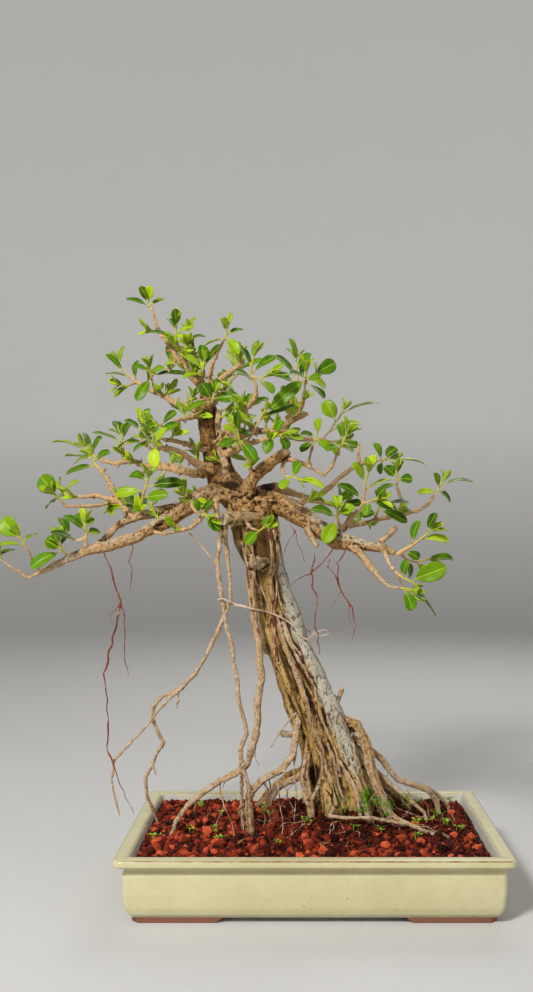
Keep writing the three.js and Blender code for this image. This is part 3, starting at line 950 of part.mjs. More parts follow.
// Turns of a leaf, nearest first, for where its own place is taken: [depth, facing].
const TURNS = [0, 5, -5, 10, -10, 15, -15, 20, -20, 26, -26].flatMap((depth) =>
  [0, 20, -20, 40].map((facing) => [depth, facing]));

// The tip and facing of a leaf drawn on the sheet, then those it may be bent to.
function drawnTips([across, down, depth, , facing], foot) {
  const base = foot.y - SHEET_Y + depth;
  return TURNS.map(([shift, turned]) => [place([across, down, base + shift]), facing + turned]);
}

// The same for a leaf of the spiral.
function spiralTips(item, foot, axis, length) {
  const side = UP.clone().cross(axis).normalize();
  return Array.from({ length: LEAF.spiralTries }, (_, step) => {
    const out = side.clone().applyAxisAngle(axis, item * LEAF.spiral + step * LEAF.spiralStep);
    const tip = foot
      .clone()
      .addScaledVector(axis, length * Math.cos(LEAF.spread))
      .addScaledVector(out, length * Math.sin(LEAF.spread));
    return [tip, LEAF.spiralFacing];
  });
}

// A stem laid out as stations, each a point, a direction and a radius, with a short stretch for each leaf or
// side stem that leaves it. "stretches" maps a station's number to what grows between it and the next one.
function layOutStem({ stem, leaves, sides = [], more = 0 }, first, firstRadius, lead) {
  const corners = [first, ...lead, ...stem.map(place)];
  const [last, tip] = corners.slice(-2);
  corners.push(tip.clone().add(tip.clone().sub(last).setLength(STEM.bud)));
  const path = new THREE.CurvePath();
  corners.slice(1).forEach((corner, i) => path.add(new THREE.LineCurve3(corners[i], corner)));
  const reach = path.getLength();
  const total = reach - STEM.bud;
  const lengths = [0, ...path.getCurveLengths()];
  const bare = lead.length ? STEM.lead + STEM.half : 2 * STEM.half;
  const count = leaves.length + more;
  const growths = sides.map((side) => {
    const drawnAt = lengths[side.from + lead.length];
    return { side, at: Math.max(bare + STEM.half, drawnAt) };
  });
  for (let i = 0; i < count; i += 1) {
    const at = bare + (total - bare) * ((i + LEAF.firstShare) / count);
    growths.push(i < leaves.length ? { leaf: leaves[i], at } : { item: i, at });
  }
  growths.sort((a, b) => a.at - b.at);
  growths.forEach((growth, i) => {
    if (i > 0) growth.at = Math.max(growth.at, growths[i - 1].at + 2 * STEM.half);
  });
  const stretches = new Map();
  const at = lead.length ? [0, STEM.lead] : [0];
  growths.forEach((growth) => {
    const low = growth.at - STEM.half;
    const isBetween = (length) => length > at.at(-1) + STEM.half && length < low - STEM.half;
    const corner = lengths.slice(1, -1).find(isBetween);
    if (corner !== undefined) at.push(corner);
    if (low > at.at(-1) + STEM.least) at.push(low);
    stretches.set(at.length - 1, growth);
    at.push(growth.at + STEM.half);
  });
  at.push(Math.max(reach, at.at(-1) + STEM.bud));
  const end = at.at(-2);
  const stations = at.map((length, i) => ({
    point: path.getPointAt(Math.min(1, length / reach)).addScaledVector(
      tip.clone().sub(last).normalize(), Math.max(0, length - reach)),
    along: path.getTangentAt(Math.min(1, length / reach)),
    radius: i === at.length - 1 ? STEM.budTip : THREE.MathUtils.lerp(firstRadius, STEM.tip, length / end),
  }));
  return { stations, stretches };
}

const centreOf = (corners) =>
  corners.reduce((sum, corner) => sum.add(corner), new THREE.Vector3()).divideScalar(corners.length);

// The same ring, begun at the corner that lies nearest to the start of another.
function aligned(ring, other) {
  const turned = ring.map((_, shift) => ring.map((__, i) => ring[(i + shift) % ring.length]));
  const apart = (candidate) => candidate.reduce((sum, corner, i) => sum + corner.distanceTo(other[i]), 0);
  return turned.reduce((best, candidate) => (apart(candidate) < apart(best) ? candidate : best));
}

// One leafy shoot on the flat end of its twig. Stem, side stems and leaves are one skin: a leaf's stalk or a
// side stem takes the place of one face of the stem.
function makeShoot(name, shoot) {
  const twig = WOOD[name] ?? SPURS[name];
  const [before, end] = twig.slice(-2).map(place);
  const outward = end.clone().sub(before).normalize();
  const points = [];
  const faces = [];
  const placed = [];
  const grown = [];
  const addRing = (ring) => ring.map((corner) => points.push(corner) - 1);
  const walls = (low, high) => low.map((corner, i) => [corner, low[(i + 1) % 4], high[(i + 1) % 4], high[i]]);
  const close = ([a, b, c, d]) => faces.push([a, b, c], [a, c, d]);
  const bodyOf = (rings) => {
    const solid = solidOf(skin(rings));
    return { solid, box: solid.boundingBox() };
  };

  // Leaves wait until every stem stands, so that none grows through a side stem.
  const waiting = [];
  const growStem = (spec, first, radius, lead, base) => {
    const { stations, stretches } = layOutStem(spec, first, radius, lead);
    const rings = ringsRound(stations, STEM.sides);
    if (base) rings[0] = null;
    const body = bodyOf(rings.filter(Boolean));
    placed.push(body);
    grown.push(body);
    let low = base ?? addRing(rings[0]);
    if (!base) close([...low].reverse());
    rings.slice(1).forEach((ring, i) => {
      const high = addRing(base && i === 0 ? aligned(ring, low.map((corner) => points[corner])) : ring);
      if (base && i === 0) {
        for (let r = 2; r < rings.length; r += 1) rings[r] = aligned(rings[r], rings[r - 1]);
      }
      const growth = stretches.get(i);
      const sides = walls(low, high);
      if (growth) {
        const way = growth.leaf
          ? drawnTips(growth.leaf, stations[i].point)[0][0].sub(stations[i].point)
          : growth.side
            ? place(growth.side.stem[0]).sub(stations[i].point)
            : spiralTips(growth.item, stations[i].point, stations[i].along, 1)[0][0].sub(stations[i].point);
        const axis = stations[i].point.clone().add(stations[i + 1].point).divideScalar(2);
        const faceCentre = (side) => centreOf(side.map((corner) => points[corner]));
        const outwardness = (side) => faceCentre(side).sub(axis).normalize().dot(way);
        const used = sides.reduce((best, side) => (outwardness(side) > outwardness(best) ? side : best));
        sides.filter((side) => side !== used).forEach(close);
        const foot = faceCentre(used);
        if (growth.side) growStem(growth.side, foot, stations[i].radius * STEM.sideShare, [], used);
        else waiting.push({ ...growth, used, foot, along: stations[i].along });
      } else sides.forEach(close);
      low = high;
    });
    close(low);
  };
  growStem(shoot, end.clone().addScaledVector(outward, GAP), twig.at(-1)[3] - STEM.thinner, [
    end.clone().addScaledVector(outward, GAP + STEM.lead),
  ]);

  waiting.forEach(({ leaf, item, used, foot, along }) => {
    const length = LEAF.length + LEAF.lengthRange * chance(item ?? 0, name.length);
    const tips = leaf ? drawnTips(leaf, foot) : spiralTips(item, foot, along, length);
    const width = leaf ? leaf[3] : length * LEAF.ratio;
    const seat = used.map((corner) => points[corner]);
    const fits = ([tip, facing]) => {
      const blade = bladeRings(foot, tip, width, facing, GAP);
      const reach = bodyOf(blade);
      const stalk = bodyOf([aligned(seat, blade[0]), blade[0]]);
      const hasRoom = isClear(reach.solid) && isClear(stalk.solid) && isClear(reach.solid, grown);
      return hasRoom && { tip, facing, reach };
    };
    // A leaf that finds no room is left out.
    const spot = tips.reduce((found, candidate) => found || fits(candidate), null);
    if (!spot) {
      close(used);
      return;
    }
    const rings = bladeRings(foot, spot.tip, width, spot.facing);
    rings[0] = aligned(rings[0], seat);
    for (let r = 1; r < rings.length; r += 1) rings[r] = aligned(rings[r], rings[r - 1]);
    grown.push(spot.reach);
    placed.push(bodyOf([aligned(seat, rings[0]), ...rings]));
    const levels = [used, ...rings.map(addRing)];
    levels.slice(1).forEach((level, i) => walls(levels[i], level).forEach(close));
    close(levels.at(-1));
  });
  standing.push(...placed);
  const geometry = new THREE.BufferGeometry().setFromPoints(points);
  geometry.setIndex(faces.flat());
  geometry.computeVertexNormals();
  return geometry;
}

// The materials, with the colour, roughness and metalness of each.
const matte = (color, roughness) => new THREE.MeshStandardMaterial({ color, roughness, metalness: 0 });
const MATERIALS = {
  glaze: matte(0xd9d7a8, 0.3),
  net: matte(0x2c2f2e, 0.6),
  soil: matte(0x8a3a24, 0.95),
  bark: matte(0xb39a6c, 0.85),
  redRoot: matte(0x9c4a3a, 0.7),
  fibre: matte(0xd8bfae, 0.8),
  leaf: matte(0x5d9a2c, 0.4),
};

const group = new THREE.Group();
function addMesh(name, geometry, material) {
  const mesh = new THREE.Mesh(geometry, material);
  mesh.name = name;
  group.add(mesh);
  return mesh;
}

const woodSolids = makeWood();
const bark = addMesh("trunk", joined(woodSolids), MATERIALS.bark);
addMesh("pot", geometryOf(makeTray()), MATERIALS.glaze);
addMesh("soil", thinned(geometryOf(makeSoil(makeWoodInSoil())), THIN.slack), MATERIALS.soil);
[["left", -DRAIN.x], ["right", DRAIN.x]].forEach(([side, x]) => {
  addMesh(`drain_screen_${side}`, geometryOf(makeScreen(x)), MATERIALS.net);
});
woodSolids.forEach(stand);
Object.entries(AERIAL_ROOTS).forEach(([name, paths]) => {
  const roots = paths.map((path, i) => (i === 0 ? hangingRoot(path, bark) : cord(path)));
  roots.forEach(stand);
  addMesh(name, joined(roots), MATERIALS.redRoot);
});
const cords = TIE.map(cord);
addMesh("binding_tie", joined(cords), MATERIALS.fibre);
cords.forEach(stand);
Object.entries(SHOOTS).forEach(([name, shoot]) => {
  addMesh(`shoot_${name}`, makeShoot(name, shoot), MATERIALS.leaf);
});

// The origin is the centre of the whole object's footprint, at the underside of the feet.
const extent = new THREE.Box3().setFromObject(group);
const middle = extent.getCenter(new THREE.Vector3());
group.position.set(-middle.x, -middle.y, -extent.min.z);

export default group;
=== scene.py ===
import math
import random

import bmesh
import bpy
import numpy as np
from bpy.props import FloatProperty, FloatVectorProperty, IntProperty, PointerProperty
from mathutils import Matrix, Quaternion, Vector
from mathutils.bvhtree import BVHTree


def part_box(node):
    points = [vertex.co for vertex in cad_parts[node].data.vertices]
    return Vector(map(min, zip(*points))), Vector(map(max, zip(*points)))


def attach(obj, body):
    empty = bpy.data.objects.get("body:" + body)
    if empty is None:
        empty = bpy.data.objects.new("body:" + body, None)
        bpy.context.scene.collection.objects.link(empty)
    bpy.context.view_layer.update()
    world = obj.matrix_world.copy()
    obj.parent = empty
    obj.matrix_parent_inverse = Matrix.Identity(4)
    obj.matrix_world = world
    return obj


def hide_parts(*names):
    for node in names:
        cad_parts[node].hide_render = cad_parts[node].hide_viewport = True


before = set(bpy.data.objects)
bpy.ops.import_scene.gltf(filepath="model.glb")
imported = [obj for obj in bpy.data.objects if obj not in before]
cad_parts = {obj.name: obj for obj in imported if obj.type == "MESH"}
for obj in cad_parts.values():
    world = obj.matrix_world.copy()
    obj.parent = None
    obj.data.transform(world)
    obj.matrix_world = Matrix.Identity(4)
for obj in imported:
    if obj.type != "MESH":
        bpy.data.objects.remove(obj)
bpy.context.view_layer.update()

bl_info = {
    "name": "Green Island Ficus Bonsai",
    "version": (1, 0, 0),
    "blender": (4, 5, 0),
    "location": "View3D > Sidebar > Bonsai",
    "description": "Dresses the bonsai's solids with bark, leaves, grit, moss and glaze",
    "category": "Add Mesh",
}

MM = 0.001
# Random angles are drawn up to a full turn.
TURN = 6.28
POT_LOW, POT_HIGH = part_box("pot")
POT_MIDDLE = Vector(((POT_LOW.x + POT_HIGH.x) / 2, (POT_LOW.y + POT_HIGH.y) / 2, POT_LOW.z))

# The eye of the photograph, and the upright sheet through the trunk on which one pixel is one millimetre.
EYE = POT_MIDDLE + Vector((-0.014, -1.095, 0.356))
FOCAL = 1100.0
SIGHT = (299.0, 524.0)
FRAME_SIZE = (533, 992)
SENSOR = 36.0
SHEET = 1.1


def sight_line(across, down):
    """The direction from the eye through a pixel, one unit deep."""
    return Vector(((across - SIGHT[0]) / FOCAL, 1.0, -(down - SIGHT[1]) / FOCAL))


def on_sheet(across, down, depth):
    """The point seen at a pixel, so many millimetres behind the sheet."""
    return EYE + sight_line(across, down) * (SHEET + depth * MM)


def sheet_places(points):
    """The pixel and the depth behind the sheet, in millimetres, of each row of an array of points."""
    away = points - np.array(EYE)
    across = SIGHT[0] + FOCAL * away[:, 0] / away[:, 1]
    down = SIGHT[1] - FOCAL * away[:, 2] / away[:, 1]
    return across, down, (away[:, 1] - SHEET) / MM


def colour_property(name, description, default):
    return FloatVectorProperty(
        name=name, description=description, subtype="COLOR", size=3, min=0, max=1, default=default
    )


def length_property(name, description, default):
    return FloatProperty(name=name, description=description, unit="LENGTH", precision=4, default=default)


class PotLook(bpy.types.PropertyGroup):
    corner: length_property("Corner radius", "Outer corner of the rim in plan", 0.008)
    soften: length_property("Softening", "Rounding of the glazed edges", 0.0016)
    glaze: colour_property("Glaze", "Pale yellow glaze on the body", (0.66, 0.61, 0.355))
    glaze_shade: colour_property("Glaze shade", "Deeper tone where the glaze is thick", (0.585, 0.535, 0.285))
    break_edge: colour_property("Edge break", "Brown where the glaze runs thin", (0.27, 0.155, 0.065))
    speckle: colour_property("Speckle", "Iron specks in the glaze", (0.10, 0.045, 0.014))
    stain: colour_property("Lime stain", "Whitish crust on the inner walls", (0.50, 0.49, 0.47))
    clay: colour_property("Clay", "Bare fired clay of the feet", (0.17, 0.066, 0.036))
    net: colour_property("Net", "Plastic net over the drain holes", (0.02, 0.022, 0.022))


class SoilLook(bpy.types.PropertyGroup):
    grit_size: length_property("Grit size", "Mean width of a lava grain", 0.0073)
    grit: colour_property("Lava grit", "Main red-brown of the grains", (0.25, 0.024, 0.008))
    grit_light: colour_property("Light grit", "Palest grains", (0.74, 0.125, 0.045))
    # Dark grit is also the painted shade in the grains' pores and of the lower layer's grains.
    grit_dark: colour_property("Dark grit", "Darkest grains", (0.014, 0.004, 0.003))
    humus: colour_property("Humus", "Dark crumbs between the grains", (0.007, 0.004, 0.003))
    moss: colour_property("Moss", "Bright moss at the trunk's foot", (0.045, 0.165, 0.004))
    seedling: colour_property("Seedling", "Yellow-green seedlings", (0.50, 0.80, 0.020))
    crumbs: IntProperty(name="Crumbs", description="Number of humus crumbs", default=11000, min=0)


class WoodLook(bpy.types.PropertyGroup):
    cell: length_property("Cell", "Size of a cell of the bark's mesh", 0.0009)
    relief: length_property("Relief", "Height of the furrows on thick wood", 0.0008)
    # Tan bark, unflecked, is also the painted light on the lower trunk.
    tan: colour_property("Tan bark", "Yellow-brown strands of the trunk", (0.64, 0.39, 0.110))
    # Brown bark, darkened, is also the painted shade in the bark's hollows.
    brown: colour_property("Brown bark", "Bark of the limbs and the upper trunk", (0.54, 0.275, 0.080))
    # Dark bark is also the painted shade in the deepest hollows, and with the dark share the painted shadow
    # and the groove's painted shade.
    dark: colour_property("Dark bark", "Furrows and hollows", (0.024, 0.011, 0.005))
    grey: colour_property("Grey bark", "Lichen-white strand", (0.66, 0.63, 0.50))
    # Twig skin, mixed half with cut wood, is also the painted highlight and wear on the bark's ridges.
    twig: colour_property("Twig", "Orange-tan skin of the twigs", (0.62, 0.37, 0.17))
    prop: colour_property("Prop root", "Pale skin of the prop roots", (0.56, 0.37, 0.20))
    prop_pale: colour_property("Bleached root", "Greyish stretches of the prop roots", (0.66, 0.52, 0.40))
    damp: colour_property("Damp bark", "Dark green-brown by the soil", (0.050, 0.048, 0.012))
    cut: colour_property("Cut wood", "Cream face of a cut stub", (0.70, 0.56, 0.34))
    red_root: colour_property("Red root", "Fresh aerial roots", (0.30, 0.052, 0.028))
    fibre: colour_property("Fibre", "Twisted tie", (0.84, 0.63, 0.50))


class LeafLook(bpy.types.PropertyGroup):
    thickness: length_property("Thickness", "Blade thickness", 0.00065)
    mature: colour_property("Mature leaf", "Dark glossy green", (0.008, 0.060, 0.002))
    middle: colour_property("Leaf", "Green of most leaves", (0.050, 0.170, 0.003))
    young: colour_property("Young leaf", "Yellow-green new growth", (0.40, 0.54, 0.010))
    under: colour_property("Underside", "Dull olive underside", (0.12, 0.20, 0.012))
    vein: colour_property("Vein", "Pale midrib", (0.42, 0.58, 0.04))
    stem: colour_property("Green stem", "Young shoot", (0.46, 0.46, 0.025))


class StageLook(bpy.types.PropertyGroup):
    floor: colour_property("Floor", "Plain pale floor", (0.62, 0.61, 0.59))
    key: FloatProperty(name="Key light", description="Soft light above left", default=46, unit="POWER")
    fill: FloatProperty(name="Fill light", description="Soft light from the right", default=2.5, unit="POWER")
    back: FloatProperty(name="Back light", description="Soft light from behind", default=10, unit="POWER")
    sky: FloatProperty(name="Surround", description="Strength of the pale surround", default=0.11, min=0)
    wall: FloatProperty(name="Wall glow", description="Glow of the wall behind the floor", default=0.2, min=0)


class Finish:
    """A node material in the making: the Principled shader's constants, then textures linked to it."""

    def __init__(self, name, **constants):
        self.material = bpy.data.materials.new(name)
        self.material.use_nodes = True
        self.tree = self.material.node_tree
        self.surface = self.tree.nodes["Principled BSDF"]
        for socket, value in constants.items():
            self.surface.inputs[socket.replace("_", " ")].default_value = value
        self.place = self.tree.nodes.new("ShaderNodeTexCoord").outputs["Object"]
        self.colour = None

    def node(self, kind, links=None, **settings):
        node = self.tree.nodes.new("ShaderNode" + kind)
        for key, value in settings.items():
            if key in node.inputs:
                node.inputs[key].default_value = value
            else:
                setattr(node, key, value)
        for socket, source in (links or {}).items():
            self.tree.links.new(source, node.inputs[socket])
        return node

    def stretched(self, x, y, z):
        """The object's coordinates, stretched."""
        return self.node("Mapping", {"Vector": self.place}, Scale=(x, y, z)).outputs["Vector"]

    def noise(self, scale, detail=4.0, rough=0.6, vector=None):
        links = {"Vector": vector or self.place}
        return self.node("TexNoise", links, Scale=scale, Detail=detail, Roughness=rough).outputs["Fac"]

    def cells(self, scale):
        """The distance from the middle of the nearest of many scattered cells."""
        return self.node("TexVoronoi", {"Vector": self.place}, Scale=scale).outputs["Distance"]

    def height(self):
        return self.node("SeparateXYZ", {"Vector": self.place}).outputs["Z"]

    def between(self, value, low, high):
        """0 at low, 1 at high, and between them in proportion. Low may lie above high."""
        node = self.node("MapRange", {"Value": value})
        node.inputs["From Min"].default_value = low
        node.inputs["From Max"].default_value = high
        return node.outputs["Result"]

    def patches(self, low, high, *noise):
        """0 where a noise is below low, 1 where it is above high."""
        return self.between(self.noise(*noise), low, high)

    def times(self, first, second):
        node = self.node("Math", {0: first}, operation="MULTIPLY")
        if isinstance(second, float):
            node.inputs[1].default_value = second
        else:
            self.tree.links.new(second, node.inputs[1])
        return node.outputs["Value"]

    def mix(self, amount, first, second):
        node = self.tree.nodes.new("ShaderNodeMix")
        node.data_type = "RGBA"
        for socket, value in ((0, amount), (6, first), (7, second)):
            if isinstance(value, bpy.types.NodeSocket):
                self.tree.links.new(value, node.inputs[socket])
            elif isinstance(value, float):
                node.inputs[socket].default_value = value
            else:
                node.inputs[socket].default_value = (*value, 1)
        return node.outputs[2]

    def shaded(self, share, colour, amount):
        """A colour where the amount is 1, and a share of it where the amount is 0."""
        return self.mix(amount, toned(share, colour), colour)

    def coat(self, amount, colour, share=None):
        """Lays a colour over what is there, by an amount, or by a share of it."""
        self.colour = self.mix(self.times(amount, share) if share else amount, self.colour, colour)

    def tone(self, name):
        """The four channels of a colour attribute of the mesh."""
        attribute = self.node("Attribute", attribute_name=name)
        parts = self.node("SeparateColor", {"Color": attribute.outputs["Color"]})
        return [parts.outputs[0], parts.outputs[1], parts.outputs[2], attribute.outputs["Alpha"]]

    def smooth(self, **links):
        """The material, with its colour and what else varies linked to the shader."""
        for socket, source in (("Base Color", self.colour), *links.items()):
            self.tree.links.new(source, self.surface.inputs[socket.replace("_", " ")])
        return self.material

    def bumpy(self, height, distance, strength, **links):
        """The material, with a bump as well."""
        bump = self.node("Bump", {"Height": height}, Distance=distance, Strength=strength)
        return self.smooth(Normal=bump.outputs["Normal"], **links)


def toned(share, colour):
    """A colour as bright as a share of it."""
    return [share * part for part in colour]


# Iron specks of three sizes: cells to the metre, inner and outer radius in parts of a cell, strength.
SPECKS = ((240.0, 0.06, 0.13, 0.5), (120.0, 0.03, 0.06, 0.7), (47.0, 0.022, 0.034, 0.95))


def glaze_finish(look):
    """Pale glaze with iron specks: brown where it runs thin on an edge, whitish inside above the soil."""
    finish = Finish("pale_glaze", Coat_Weight=0.3, Coat_Roughness=0.1)
    edge, crust, foot, _ = finish.tone("tone")
    finish.colour = finish.mix(finish.patches(0.38, 0.62, 17.0, 6.0, 0.7), look.glaze, look.glaze_shade)
    finish.coat(finish.patches(0.45, 0.7, 130.0, 5.0), look.glaze_shade, 0.3)
    finish.coat(finish.times(edge, finish.patches(0.2, 0.6, 48.0, 5.0, 0.7)), look.break_edge)
    finish.coat(finish.times(foot, finish.patches(0.35, 0.6, 26.0, 6.0)), look.break_edge, 0.7)
    lime = finish.times(crust, finish.patches(0.36, 0.56, 75.0, 7.0, 0.7))
    finish.coat(lime, look.stain)
    for scale, inner, outer, share in SPECKS:
        finish.coat(finish.between(finish.cells(scale), outer, inner), look.speckle, share)
    roughness = finish.mix(lime, [0.26] * 3, [0.75] * 3)
    return finish.bumpy(finish.noise(190.0, 4.0), 0.00016, 0.35, Roughness=roughness)


def clay_finish(look):
    finish = Finish("bare_clay", Roughness=0.9)
    finish.colour = finish.mix(finish.noise(180.0), look.clay, toned(1.6, look.clay))
    return finish.bumpy(finish.noise(700.0, 3.0), 0.0002, 0.5)


def net_finish(look):
    finish = Finish("drain_net", Roughness=0.55)
    finish.colour = finish.mix(finish.noise(120.0), look.net, toned(2, look.net))
    return finish.bumpy(finish.noise(900.0), 0.0001, 0.4)


def humus_finish(look):
    finish = Finish("dark_humus", Roughness=0.95)
    finish.colour = finish.mix(finish.patches(0.45, 0.75, 260.0), look.humus, look.grit_dark)
    return finish.bumpy(finish.noise(900.0, 6.0), 0.0006, 0.9)


def grit_finish(look):
    """Porous lava: each grain has its own tone, and all have painted shade in their pores."""
    finish = Finish("lava_grit", Roughness=0.85, Specular_IOR_Level=0.15)
    tone, shade, _, _ = finish.tone("tone")
    finish.colour = finish.mix(finish.between(tone, 0.0, 0.5), look.grit_dark, look.grit)
    finish.coat(finish.between(tone, 0.5, 1.0), look.grit_light)
    finish.coat(finish.times(finish.patches(0.38, 0.62, 240.0), tone), look.grit_light, 0.5)
    pores = finish.cells(760.0)
    # Painted shade: the grains darken into the pits of their pores.
    finish.coat(finish.between(pores, 0.32, 0.08), look.grit_dark)
    finish.coat(shade, look.humus)
    return finish.bumpy(finish.times(finish.between(pores, 0.05, 0.5), finish.noise(420.0)), 0.0016, 0.9)


def plant_finish(name, colour, pale):
    finish = Finish(name, Roughness=0.55, Subsurface_Weight=0.15, Subsurface_Scale=0.001)
    finish.colour = finish.mix(finish.tone("tone")[0], colour, pale)
    return finish.bumpy(finish.noise(1500.0), 0.0001, 0.4)


def bark_finish(look):
    """Bark by what the mesh says of each spot: grey, dark, young and damp; trunk, hollow, cut and height. The
    hollow channel gives painted shade in hollows and a painted highlight on ridges, the dark channel is
    partly painted shadow and shade, and the lower trunk has painted light.
    """
    finish = Finish("bark", Roughness=0.8, Specular_IOR_Level=0.12)
    grey, dark, young, damp = finish.tone("tone")
    trunk, hollow, cut, height = finish.tone("form")
    along = finish.node("Attribute", attribute_name="grain").outputs["Vector"]
    streak = finish.noise(210.0, 7.0, 0.7, along)
    patch = finish.noise(60.0, 6.0, 0.65)
    fleck = finish.noise(330.0, 5.0, 0.7)
    body = finish.shaded(0.32, look.tan, finish.between(streak, 0.39, 0.58))
    # Painted light: from 0.24 m down to 0.15 m the trunk turns to a brighter, less flecked tan.
    painted_light_below = finish.between(finish.height(), 0.24, 0.15)
    body = finish.mix(finish.times(painted_light_below, 0.6), body, look.tan)
    limb = finish.shaded(0.24, look.brown, finish.between(fleck, 0.38, 0.60))
    finish.colour = finish.mix(trunk, limb, body)
    bleached = finish.mix(finish.between(patch, 0.45, 0.60), look.prop, look.prop_pale)
    skin = finish.mix(height, bleached, look.twig)
    skin = finish.mix(finish.between(fleck, 0.35, 0.55), toned(0.4, look.twig), skin)
    finish.coat(finish.times(young, finish.between(patch, 0.22, 0.42)), skin)
    lichen = finish.shaded(0.6, look.grey, finish.between(fleck, 0.3, 0.7))
    finish.coat(finish.times(grey, finish.patches(0.45, 0.55, 110.0, 8.0, 0.75)), lichen)
    finish.coat(finish.times(grey, finish.times(grey, grey)), lichen)
    # Painted highlight and wear: paler twig and cut-wood colour on the ridges.
    finish.coat(finish.between(hollow, 0.5, 0.1), finish.mix(0.5, look.twig, look.cut), 0.30)
    ticks = finish.patches(0.56, 0.61, 430.0, 3.0, 0.6, finish.stretched(1, 1, 0.4))
    finish.coat(finish.times(ticks, finish.times(trunk, 0.8)), look.dark)
    finish.coat(finish.patches(0.57, 0.63, 380.0, 4.0, 0.7), look.dark, 0.65)
    # The dark share, streaked: painted shadow and shade, with the dark bark of the upper trunk.
    finish.coat(finish.times(dark, finish.between(streak, 0.2, 0.45)), look.dark)
    # Painted shade: darker brown in the hollows, near black in the deepest.
    finish.coat(finish.between(hollow, 0.5, 0.72), toned(0.25, look.brown), 0.8)
    finish.coat(finish.between(hollow, 0.64, 0.92), look.dark, 0.9)
    green = finish.between(finish.patches(0.4, 0.6, 85.0, 5.0), -0.4, 1.0)
    finish.coat(finish.times(damp, green), look.damp)
    finish.coat(cut, finish.shaded(0.4, look.cut, finish.between(fleck, 0.35, 0.6)))
    return finish.bumpy(finish.noise(480.0, 8.0, 0.75), 0.0014, 0.9)


def root_finish(look, pale=0.0):
    """Thin roots: red-brown, with stretches as pale as the prop roots."""
    finish = Finish("red_root", Roughness=0.5)
    tone = finish.noise(75.0, 6.0, 0.7)
    finish.colour = finish.shaded(0.4, look.red_root, finish.between(tone, 0.35, 0.6))
    finish.coat(finish.between(tone, 0.58 - pale, 0.68 - pale), look.prop)
    return finish.bumpy(finish.noise(1200.0, 4.0), 0.0003, 0.7)


def fibre_finish(look):
    finish = Finish("twisted_fibre", Roughness=0.85)
    finish.colour = finish.mix(finish.noise(700.0), look.fibre, toned(0.5, look.fibre))
    return finish.bumpy(finish.noise(2500.0, 4.0), 0.00015, 0.7)


def blade_veins(finish):
    """Pale lines: the midrib down the middle, and side veins that leave it slantwise."""
    along, across, age, _ = finish.tone("blade")
    middle = finish.node("Math", {0: across}, operation="SUBTRACT")
    middle.inputs[1].default_value = 0.5
    off = finish.node("Math", {0: middle.outputs[0]}, operation="ABSOLUTE").outputs[0]
    midrib = finish.between(off, 0.035, 0.015)
    rim = finish.between(off, 0.465, 0.495)
    slant = finish.node("Math", {0: off, 2: along}, operation="MULTIPLY_ADD")
    slant.inputs[1].default_value = -0.55
    wave = finish.node("Math", {0: finish.times(slant.outputs[0], 58.0)}, operation="SINE").outputs[0]
    side = finish.times(finish.between(wave, 0.82, 1.0), finish.between(off, 0.46, 0.3))
    return midrib, side, age, rim


def leaf_finish(look):
    """The blade's upper face: glossy, from dark green to yellow-green with its age."""
    sheen = {"Roughness": 0.32, "Specular_IOR_Level": 0.12}
    finish = Finish("leaf_upper", Subsurface_Weight=0.10, Subsurface_Scale=0.0015, **sheen)
    midrib, side, age, rim = blade_veins(finish)
    finish.colour = finish.mix(finish.between(age, 0.0, 0.5), look.mature, look.middle)
    finish.coat(finish.between(age, 0.5, 1.0), look.young)
    finish.coat(finish.patches(0.36, 0.66, 110.0, 5.0, 0.65), look.young, 0.2)
    for line, share in ((side, 0.14), (rim, 0.3), (midrib, 0.75)):
        finish.coat(line, look.vein, share)
    return finish.bumpy(finish.times(side, -1.0), 0.0002, 0.35)


def under_finish(look):
    """The blade's underside: duller, paler, with raised veins."""
    finish = Finish("leaf_under", Roughness=0.5, Subsurface_Weight=0.12, Subsurface_Scale=0.0015)
    midrib, side, age, _ = blade_veins(finish)
    finish.colour = finish.mix(finish.times(age, 0.6), look.under, look.young)
    for line, share in ((side, 0.2), (midrib, 0.7)):
        finish.coat(line, look.vein, share)
    return finish.bumpy(side, 0.0002, 0.5)


def stem_finish(look, wood):
    """Stems: green towards the tip, tan and corky where they leave the twig."""
    finish = Finish("leafy_stem", Roughness=0.6)
    woody = finish.times(finish.tone("blade")[3], finish.patches(0.3, 0.5, 300.0, 5.0))
    finish.colour = finish.mix(woody, look.stem, wood.twig)
    return finish.bumpy(finish.noise(900.0, 5.0), 0.0003, 0.6)


def leafy_finishes(scene):
    """The finishes of a leafy piece, by slot: blade above, blade below, stem."""
    look = scene.bonsai_leaf
    return [leaf_finish(look), under_finish(look), stem_finish(look, scene.bonsai_wood)]


def linked(name, data):
    """A new object in the scene."""
    piece = bpy.data.objects.new(name, data)
    bpy.context.scene.collection.objects.link(piece)
    return piece


def mesh_of(name, points, faces, materials=(), slots=None, smooth=True, **marks):
    """A new object from arrays. Faces may have material slots, and points marks (colours or vectors)."""
    mesh = bpy.data.meshes.new(name)
    mesh.from_pydata([tuple(point) for point in points], [], [tuple(face) for face in faces])
    for material in materials:
        mesh.materials.append(material)
    if slots is not None:
        mesh.polygons.foreach_set("material_index", slots)
    mesh.polygons.foreach_set("use_smooth", [smooth] * len(mesh.polygons))
    for mark, values in marks.items():
        values = np.asarray(values, np.float32)
        if values.shape[1] == 4:
            mesh.color_attributes.new(mark, "FLOAT_COLOR", "POINT").data.foreach_set("color", values.ravel())
        else:
            mesh.attributes.new(mark, "FLOAT_VECTOR", "POINT").data.foreach_set("vector", values.ravel())
    return linked(name, mesh)


def ride(piece, slot, *replaced):
    """The piece stands on the tree's one body, in place of CAD nodes. The slot is not used."""
    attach(piece, "root")
    if replaced:
        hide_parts(*replaced)


